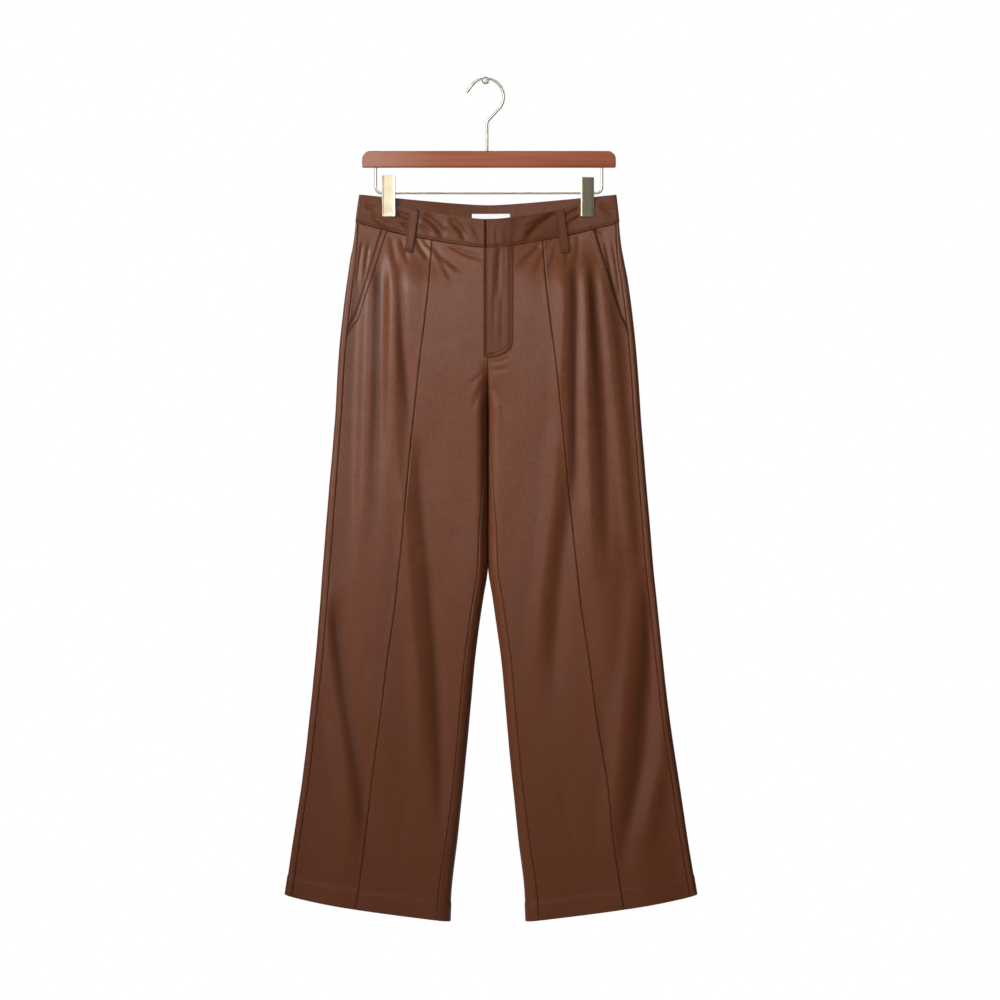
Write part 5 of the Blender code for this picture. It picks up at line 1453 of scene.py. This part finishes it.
def makeLeather(name, look, lines=()):
    # lines: which edge lengths to read, from the first or last edge, how far in, width and strength
    material, tree, shader = newMaterial(name)
    link = tree.links.new
    place = addNode(tree, "ShaderNodeUVMap", uv_map="UVMap")
    grain = placeGroup(tree, grainGroup, {"Pebble": 780.0, "Streak": 0.5})
    link(place.outputs["UV"], grain.inputs["Vector"])
    tone = ramp(tree, ((0.38, look["dark"]), (0.50, look["mid"]), (0.62, look["light"])))
    link(grain.outputs["Tone"], tone.inputs["Fac"])
    edgeMask = placeGroup(tree, edgeWearAndShadeGroup, {"Low": 0.55, "High": 0.70})
    foldShadeLane = addNode(tree, "ShaderNodeUVMap", uv_map="hollows")
    low = addNode(tree, "ShaderNodeSeparateXYZ")
    link(foldShadeLane.outputs["UV"], low.inputs[0])

    def blendColour(share, first, second, most=1.0):
        mix = addNode(tree, "ShaderNodeMix", data_type="RGBA")
        if most < 1.0:
            scaled = addNode(tree, "ShaderNodeMath", {1: most}, operation="MULTIPLY")
            link(share, scaled.inputs[0])
            share = scaled.outputs[0]
        link(share, mix.inputs["Factor"])
        link(first, mix.inputs["A"])
        mix.inputs["B"].default_value = (*second, 1.0)
        return mix.outputs["Result"]

    height = addNode(tree, "ShaderNodeSeparateXYZ")  # painted shade: the cloth is painted darker down the legs, where less light falls
    link(place.outputs["UV"], height.inputs[0])
    down = addNode(tree, "ShaderNodeMapRange", {"From Min": -0.55, "From Max": -0.92}, interpolation_type="SMOOTHSTEP")
    link(height.outputs["Y"], down.inputs["Value"])
    colour = blendColour(down.outputs["Result"], tone.outputs["Color"], look["low"], 0.66)
    # painted shade: the cloth is mixed towards the shade colour on the shaded walls of fold hollows
    colour = blendColour(low.outputs["X"], colour, look["shade"], 0.72)
    colour = blendColour(edgeMask.outputs["Mask"], colour, look["edgeTone"], 0.5)
    gloss = addNode(tree, "ShaderNodeMapRange")
    link(grain.outputs["Tone"], gloss.inputs["Value"])
    gloss.inputs["From Min"].default_value = 0.3
    gloss.inputs["From Max"].default_value = 0.7
    gloss.inputs["To Min"].default_value = look["roughness"][0]
    gloss.inputs["To Max"].default_value = look["roughness"][1]
    rough = gloss.outputs["Result"]
    lift = None
    split = {}
    for title in ("acrossRuns", "downRuns") if lines else ():
        lane = addNode(tree, "ShaderNodeUVMap", uv_map=title)
        parts = addNode(tree, "ShaderNodeSeparateXYZ")
        link(lane.outputs["UV"], parts.inputs[0])
        split[title] = {"first": parts.outputs["X"], "last": parts.outputs["Y"]}
    for lane, edge, at, width, weight in lines:
        line = placeGroup(tree, sewingGroup, {"At": at, "Width": width, "Pitch": 320.0})
        link(split[lane][edge], line.inputs["Distance"])
        link(split["downRuns" if lane == "acrossRuns" else "acrossRuns"]["first"], line.inputs["Along"])
        # painted shade: each sewn line's groove is mixed towards the near-black groove colour
        colour = blendColour(line.outputs["Groove"], colour, look["groove"], 0.85 * weight)
        colour = blendColour(line.outputs["Thread"], colour, look["thread"], 0.9 * weight)
        dull = addNode(tree, "ShaderNodeMath", {1: 0.9}, operation="MULTIPLY")
        link(line.outputs["Groove"], dull.inputs[0])
        duller = addNode(tree, "ShaderNodeMath", operation="MAXIMUM")
        link(rough, duller.inputs[0])
        link(dull.outputs[0], duller.inputs[1])
        rough = duller.outputs[0]
        step = addNode(tree, "ShaderNodeMath", {1: 0.55 * weight}, operation="MULTIPLY")
        link(line.outputs["Thread"], step.inputs[0])
        down = addNode(tree, "ShaderNodeMath", {1: -weight}, operation="MULTIPLY_ADD")
        link(line.outputs["Groove"], down.inputs[0])
        link(step.outputs[0], down.inputs[2])
        rise = addNode(tree, "ShaderNodeMath", {1: 0.9 * weight}, operation="MULTIPLY_ADD")
        link(line.outputs["Pucker"], rise.inputs[0])
        link(down.outputs[0], rise.inputs[2])
        if lift is None:
            lift = rise.outputs[0]
        else:
            total = addNode(tree, "ShaderNodeMath", operation="ADD")
            link(lift, total.inputs[0])
            link(rise.outputs[0], total.inputs[1])
            lift = total.outputs[0]
    link(colour, shader.inputs["Base Color"])
    link(rough, shader.inputs["Roughness"])
    bump = addNode(tree, "ShaderNodeBump", {"Strength": look["bump"], "Distance": look["bumpDepth"]})
    link(grain.outputs["Height"], bump.inputs["Height"])
    if lift is not None:
        press = addNode(tree, "ShaderNodeBump", {"Strength": 1.0, "Distance": look["sewnDepth"]})
        link(lift, press.inputs["Height"])
        link(press.outputs["Normal"], bump.inputs["Normal"])
    link(bump.outputs["Normal"], shader.inputs["Normal"])
    shader.inputs["Specular IOR Level"].default_value = look["specular"]
    return material


# painted shade: the band, fly and loops use darker, less glossy copies of the same cloth
bandLook = dict(leatherLook, dark=(0.090, 0.0260, 0.0098), mid=(0.115, 0.0345, 0.0136), light=(0.137, 0.0440, 0.0188),
                edgeTone=(0.150, 0.0540, 0.0260), roughness=(0.42, 0.49), specular=0.19)
flyLook = dict(leatherLook, dark=(0.093, 0.0268, 0.0100), mid=(0.118, 0.0355, 0.0138), light=(0.140, 0.0450, 0.0190),
               edgeTone=(0.165, 0.0600, 0.0290), roughness=(0.41, 0.47), specular=0.20)
bandLine = ("downRuns", "last", 0.0035, 0.0013, 0.9)
bandFoot = ("downRuns", "last", 0.0, 0.0012, 0.7)
firstSeam, lastSeam = ("acrossRuns", "first", 0.0, 0.0012, 0.62), ("acrossRuns", "last", 0.0, 0.0012, 0.62)
loopLook = dict(bandLook, dark=(0.098, 0.0285, 0.0107), mid=(0.125, 0.0378, 0.0149), light=(0.148, 0.0480, 0.0205))
loopSeams = (("acrossRuns", "first", 0.0026, 0.0009, 0.5), ("acrossRuns", "last", 0.0026, 0.0009, 0.5),
             ("downRuns", "last", 0.0040, 0.0012, 0.9), ("downRuns", "last", 0.0, 0.0013, 0.9))
# painted shadow gaps: the widest, strongest lines, beside the tab on the under tab, on the lapping edges of the tab and
# fly, on the bearer beside the welt and on the inner sides of the front loops
finishes = {
    "plain": makeLeather("brownCoatedCloth", leatherLook),
    "panel": makeLeather("brownPanelCloth", leatherLook, (
        ("downRuns", "last", 0.0280, 0.0010, 0.14), firstSeam, lastSeam, ("downRuns", "first", 0.0, 0.0014, 0.8))),
    "underTab": makeLeather("brownUnderTabCloth", bandLook, (
        bandLine, bandFoot, ("acrossRuns", "last", 0.0150, 0.0026, 1.0))),
    "bearer": makeLeather("brownBearerCloth", leatherLook, (("acrossRuns", "first", 0.0068, 0.0030, 1.0), lastSeam)),
    "band": makeLeather("brownBandCloth", bandLook, (bandLine, bandFoot)),
    "tab": makeLeather("brownTabCloth", bandLook, (
        bandLine, bandFoot, ("acrossRuns", "first", 0.0, 0.0024, 1.0), ("acrossRuns", "first", 0.0040, 0.0010, 0.20),
        ("acrossRuns", "first", 0.0380, 0.0012, 0.8))),
    "fly": makeLeather("brownFlyCloth", flyLook, (
        ("acrossRuns", "last", 0.0012, 0.0011, 0.6), ("acrossRuns", "last", 0.0074, 0.0012, 0.7),
        ("acrossRuns", "first", 0.0, 0.0028, 1.0))),
    "welt": makeLeather("brownWeltCloth", leatherLook, (
        ("acrossRuns", "first", 0.0012, 0.0011, 0.6), ("acrossRuns", "last", 0.0016, 0.0010, 0.6), lastSeam)),
    "loop": makeLeather("brownLoopCloth", loopLook, loopSeams + (firstSeam, lastSeam)),
    "loopLeft": makeLeather("brownLeftLoopCloth", loopLook, loopSeams + (
        ("acrossRuns", "first", 0.0, 0.0012, 0.55), ("acrossRuns", "last", 0.0, 0.0022, 1.0))),
    "loopRight": makeLeather("brownRightLoopCloth", loopLook, loopSeams + (
        ("acrossRuns", "first", 0.0, 0.0022, 1.0), ("acrossRuns", "last", 0.0, 0.0012, 0.55))),
}

woodLook = {
    "dark": (0.240, 0.060, 0.0240), "mid": (0.300, 0.082, 0.0350), "light": (0.350, 0.105, 0.0480),
    "glareTint": (0.420, 0.205, 0.1450), "edgeTone": (0.130, 0.032, 0.0120), "roughness": (0.42, 0.52),
}


def makeWood(name, look):
    material, tree, shader = newMaterial(name)
    link = tree.links.new
    place = addNode(tree, "ShaderNodeTexCoord")
    stretch = addNode(tree, "ShaderNodeMapping", {"Scale": (5.0, 60.0, 160.0)})
    link(place.outputs["Object"], stretch.inputs["Vector"])
    grain = addNode(tree, "ShaderNodeTexNoise", {"Scale": 1.6, "Detail": 6.0, "Roughness": 0.62, "Distortion": 0.5})
    link(stretch.outputs["Vector"], grain.inputs["Vector"])
    pores = addNode(tree, "ShaderNodeMapping", {"Scale": (60.0, 700.0, 1500.0)})
    link(place.outputs["Object"], pores.inputs["Vector"])
    pore = addNode(tree, "ShaderNodeTexNoise", {"Scale": 1.0, "Detail": 2.0, "Roughness": 0.5})
    link(pores.outputs["Vector"], pore.inputs["Vector"])
    tone = ramp(tree, ((0.30, look["dark"]), (0.50, look["mid"]), (0.72, look["light"])))
    mixed = addNode(tree, "ShaderNodeMath", operation="MULTIPLY_ADD")
    link(pore.outputs["Fac"], mixed.inputs[0])
    mixed.inputs[1].default_value = 0.22
    link(grain.outputs["Fac"], mixed.inputs[2])
    lower = addNode(tree, "ShaderNodeMath", operation="SUBTRACT")
    link(mixed.outputs[0], lower.inputs[0])
    lower.inputs[1].default_value = 0.10
    link(lower.outputs[0], tone.inputs["Fac"])
    split = addNode(tree, "ShaderNodeSeparateXYZ")  # painted highlight: paler towards the bar's left end, where the key light glares on it
    link(place.outputs["Object"], split.inputs[0])
    along = addNode(tree, "ShaderNodeMapRange", {"From Min": -0.195, "From Max": -0.045, "To Min": 0.85, "To Max": 0.0},
                    interpolation_type="SMOOTHSTEP")
    link(split.outputs["X"], along.inputs["Value"])
    glareMix = addNode(tree, "ShaderNodeMix", data_type="RGBA")
    link(along.outputs["Result"], glareMix.inputs["Factor"])
    link(tone.outputs["Color"], glareMix.inputs["A"])
    glareMix.inputs["B"].default_value = (*look["glareTint"], 1.0)
    # painted shade: the bar's rounded edges are painted darker, where they turn away from the light
    edgeMask = placeGroup(tree, edgeWearAndShadeGroup, {"Low": 0.55, "High": 0.75})
    mix = addNode(tree, "ShaderNodeMix", data_type="RGBA")
    link(edgeMask.outputs["Mask"], mix.inputs["Factor"])
    link(glareMix.outputs["Result"], mix.inputs["A"])
    mix.inputs["B"].default_value = (*look["edgeTone"], 1.0)
    link(mix.outputs["Result"], shader.inputs["Base Color"])
    gloss = addNode(tree, "ShaderNodeMapRange")
    link(pore.outputs["Fac"], gloss.inputs["Value"])
    gloss.inputs["To Min"].default_value = look["roughness"][0]
    gloss.inputs["To Max"].default_value = look["roughness"][1]
    link(gloss.outputs["Result"], shader.inputs["Roughness"])
    bump = addNode(tree, "ShaderNodeBump", {"Strength": 0.25, "Distance": 0.0001})
    link(pore.outputs["Fac"], bump.inputs["Height"])
    link(bump.outputs["Normal"], shader.inputs["Normal"])
    shader.inputs["Specular IOR Level"].default_value = 0.16
    shader.inputs["Coat Weight"].default_value = 0.04
    shader.inputs["Coat Roughness"].default_value = 0.30
    return material


def makeMetal(name, base, edgeTone, roughness, brush):
    material, tree, shader = newMaterial(name)
    link = tree.links.new
    place = addNode(tree, "ShaderNodeTexCoord")
    stretch = addNode(tree, "ShaderNodeMapping", {"Scale": brush})
    link(place.outputs["Object"], stretch.inputs["Vector"])
    marks = addNode(tree, "ShaderNodeTexNoise", {"Scale": 1.0, "Detail": 4.0, "Roughness": 0.6})
    link(stretch.outputs["Vector"], marks.inputs["Vector"])
    edgeMask = placeGroup(tree, edgeWearAndShadeGroup, {"Low": 0.54, "High": 0.72})
    tint = ramp(tree, ((0.25, tuple(0.93 * part for part in base)), (0.75, base)))
    link(marks.outputs["Fac"], tint.inputs["Fac"])
    mix = addNode(tree, "ShaderNodeMix", data_type="RGBA")
    link(edgeMask.outputs["Mask"], mix.inputs["Factor"])
    link(tint.outputs["Color"], mix.inputs["A"])
    mix.inputs["B"].default_value = (*edgeTone, 1.0)
    link(mix.outputs["Result"], shader.inputs["Base Color"])
    shader.inputs["Metallic"].default_value = 1.0
    gloss = addNode(tree, "ShaderNodeMapRange")
    link(marks.outputs["Fac"], gloss.inputs["Value"])
    gloss.inputs["To Min"].default_value = roughness[0]
    gloss.inputs["To Max"].default_value = roughness[1]
    link(gloss.outputs["Result"], shader.inputs["Roughness"])
    bump = addNode(tree, "ShaderNodeBump", {"Strength": 0.03, "Distance": 0.00003})
    link(marks.outputs["Fac"], bump.inputs["Height"])
    link(bump.outputs["Normal"], shader.inputs["Normal"])
    return material


def makeThread(name, look):  # waxed thread
    material, tree, shader = newMaterial(name)
    link = tree.links.new
    place = addNode(tree, "ShaderNodeTexCoord")
    twist = addNode(tree, "ShaderNodeTexNoise", {"Scale": 2600.0, "Detail": 2.0, "Roughness": 0.5})
    link(place.outputs["Object"], twist.inputs["Vector"])
    tone = ramp(tree, ((0.35, look["dark"]), (0.50, look["mid"]), (0.65, look["light"])))
    link(twist.outputs["Fac"], tone.inputs["Fac"])
    link(tone.outputs["Color"], shader.inputs["Base Color"])
    shader.inputs["Roughness"].default_value = 0.5
    bump = addNode(tree, "ShaderNodeBump", {"Strength": 0.4, "Distance": 0.0001})
    link(twist.outputs["Fac"], bump.inputs["Height"])
    link(bump.outputs["Normal"], shader.inputs["Normal"])
    return material


def makeWoven(name, base, dark):  # a plain woven label
    material, tree, shader = newMaterial(name)
    link = tree.links.new
    place = addNode(tree, "ShaderNodeUVMap", uv_map="UVMap")
    weave = addNode(tree, "ShaderNodeTexWave", {"Scale": 800.0, "Distortion": 0.6}, wave_type="BANDS")
    link(place.outputs["UV"], weave.inputs["Vector"])
    tone = ramp(tree, ((0.0, dark), (0.6, base)))
    link(weave.outputs["Fac"], tone.inputs["Fac"])
    link(tone.outputs["Color"], shader.inputs["Base Color"])
    shader.inputs["Roughness"].default_value = 0.75
    bump = addNode(tree, "ShaderNodeBump", {"Strength": 0.3, "Distance": 0.0001})
    link(weave.outputs["Fac"], bump.inputs["Height"])
    link(bump.outputs["Normal"], shader.inputs["Normal"])
    return material


stainedWood = makeWood("stainedBeech", woodLook)
satinWire = makeMetal("satinNickel", (0.62, 0.58, 0.50), (0.74, 0.70, 0.63), (0.42, 0.48), (90.0, 90.0, 90.0))
clipSteel = makeMetal("champagneSteel", (0.60, 0.52, 0.37), (0.74, 0.67, 0.52), (0.22, 0.27), (260.0, 260.0, 22.0))
threadLook = dict(leatherLook, dark=(0.060, 0.0170, 0.0080), mid=(0.085, 0.0260, 0.0120), light=(0.110, 0.0360, 0.0180))
pinRimReflection = makeMetal("pinRimPaintedReflection", (0.115, 0.125, 0.110), (0.30, 0.31, 0.28), (0.36, 0.46), (500.0, 500.0, 500.0))
paleLook = dict(leatherLook, dark=(0.150, 0.0620, 0.0360), mid=(0.210, 0.0920, 0.0560), light=(0.260, 0.1200, 0.0760))
brownThread = makeThread("brownThread", threadLook)
paleThread = makeThread("paleBrownThread", paleLook)
wovenWhite = makeWoven("wovenWhite", (0.96, 0.99, 0.98), (0.86, 0.90, 0.90))

for name, piece in cloth.items():
    piece.data.materials.clear()
    finish = "plain"
    for start, kind in (("innerPanel", "panel"), ("outerPanel", "panel"), ("backPanel", "panel"), ("waistband", "band"),
                        ("waistbandRight", "tab"), ("waistbandLeft", "underTab"), ("pocketBearer", "bearer"),
                        ("flyPlacket", "fly"), ("pocketWelt", "welt"), ("beltLoop", "loop"),
                        ("beltLoop_front_left", "loopLeft"), ("beltLoop_front_right", "loopRight")):
        finish = kind if name.startswith(start) else finish
    piece.data.materials.append(wovenWhite if name == "bareLabel" else finishes[finish])
for name, piece in metal.items():
    piece.data.materials.clear()
    piece.data.materials.append(stainedWood if name == "woodenBar" else clipSteel if "Plate" in name else satinWire)
    if name == "wallPin":  # a bright face inside a rim of dark grey steel, a painted reflection of the dark the rim mirrors
        piece.data.materials.append(pinRimReflection)
        for face in piece.data.polygons:
            out = math.hypot(face.center.x, face.center.z + pin["shank"] + trousers["seamGap"])
            face.material_index = 0 if out < pin["head"] - pin["rim"] - 0.0003 and face.center.y < -pin["neck"] else 1
for name, piece in thread.items():
    piece.data.materials.append(paleThread if name == "riseStitches" else brownThread)
print("leather, thread, wood and metal finished")


# cut sizes of what shows: width, length and, where the cut isn't a rectangle, its area
cuts = {
    "innerPanel_left": (0.206, 1.030, 0.1112), "innerPanel_right": (0.211, 1.030, 0.1126),
    "outerPanel_left": (0.212, 1.020, 0.1034), "outerPanel_right": (0.221, 1.020, 0.1039),
    "backPanel_left": (0.330, 1.050, 0.2676), "backPanel_right": (0.338, 1.050, 0.2698),
    "hemFacing_left": (0.512, 0.028, 0.0143), "hemFacing_right": (0.530, 0.028, 0.0148),
    "pocketBearer_left": (0.052, 0.164, 0.0042), "pocketBearer_right": (0.050, 0.164, 0.0040),
    "flyPlacket": (0.0400, 0.168, 0.0065), "bareLabel": (0.0566, 0.0272, 0.00154),
    "waistbandLeft": (0.213, 0.0412, 0.00877), "waistbandRight": (0.199, 0.0412, 0.0082),
    "waistbandBack": (0.431, 0.0412, 0.01775),
    "beltLoop_front_left": (0.0126, 0.070, 0.00088), "beltLoop_front_right": (0.0126, 0.070, 0.00088),
    "beltLoop_back_left": (0.0126, 0.071, 0.00089), "beltLoop_back_centre": (0.0126, 0.071, 0.00089),
    "beltLoop_back_right": (0.0126, 0.071, 0.00089),
}
hangsFrom = {"waistband": ["clipPlate_left_front", "clipPlate_left_back", "clipPlate_right_front", "clipPlate_right_back"],
             "hemFacing": ["innerPanel", "outerPanel", "backPanel"], "bareLabel": ["waistbandBack"], "beltLoop": ["waistband"]}


def declareCloth():
    for name, (width, length, area) in cuts.items():
        start = name.split("_")[0]
        start = "waistband" if start.startswith("waistband") else start
        bands = ["waistbandBack"] if "back" in name else ["waistbandLeft", "waistbandRight", "waistbandBack"]
        side = name.split("_")[-1]
        above = hangsFrom.get(start, bands)
        above = [f"{part}_{side}" for part in above] if start == "hemFacing" else above
        above = bands if start == "beltLoop" else above


# hang everything on the frame
def joinFrame():
    for name, piece in cloth.items():
        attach(piece, "root")
        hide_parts(piece["node"])
    for piece in thread.values():
        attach(piece, "root")
    for name, piece in metal.items():
        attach(piece, "root")
        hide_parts(piece["node"])


joinFrame()
declareCloth()
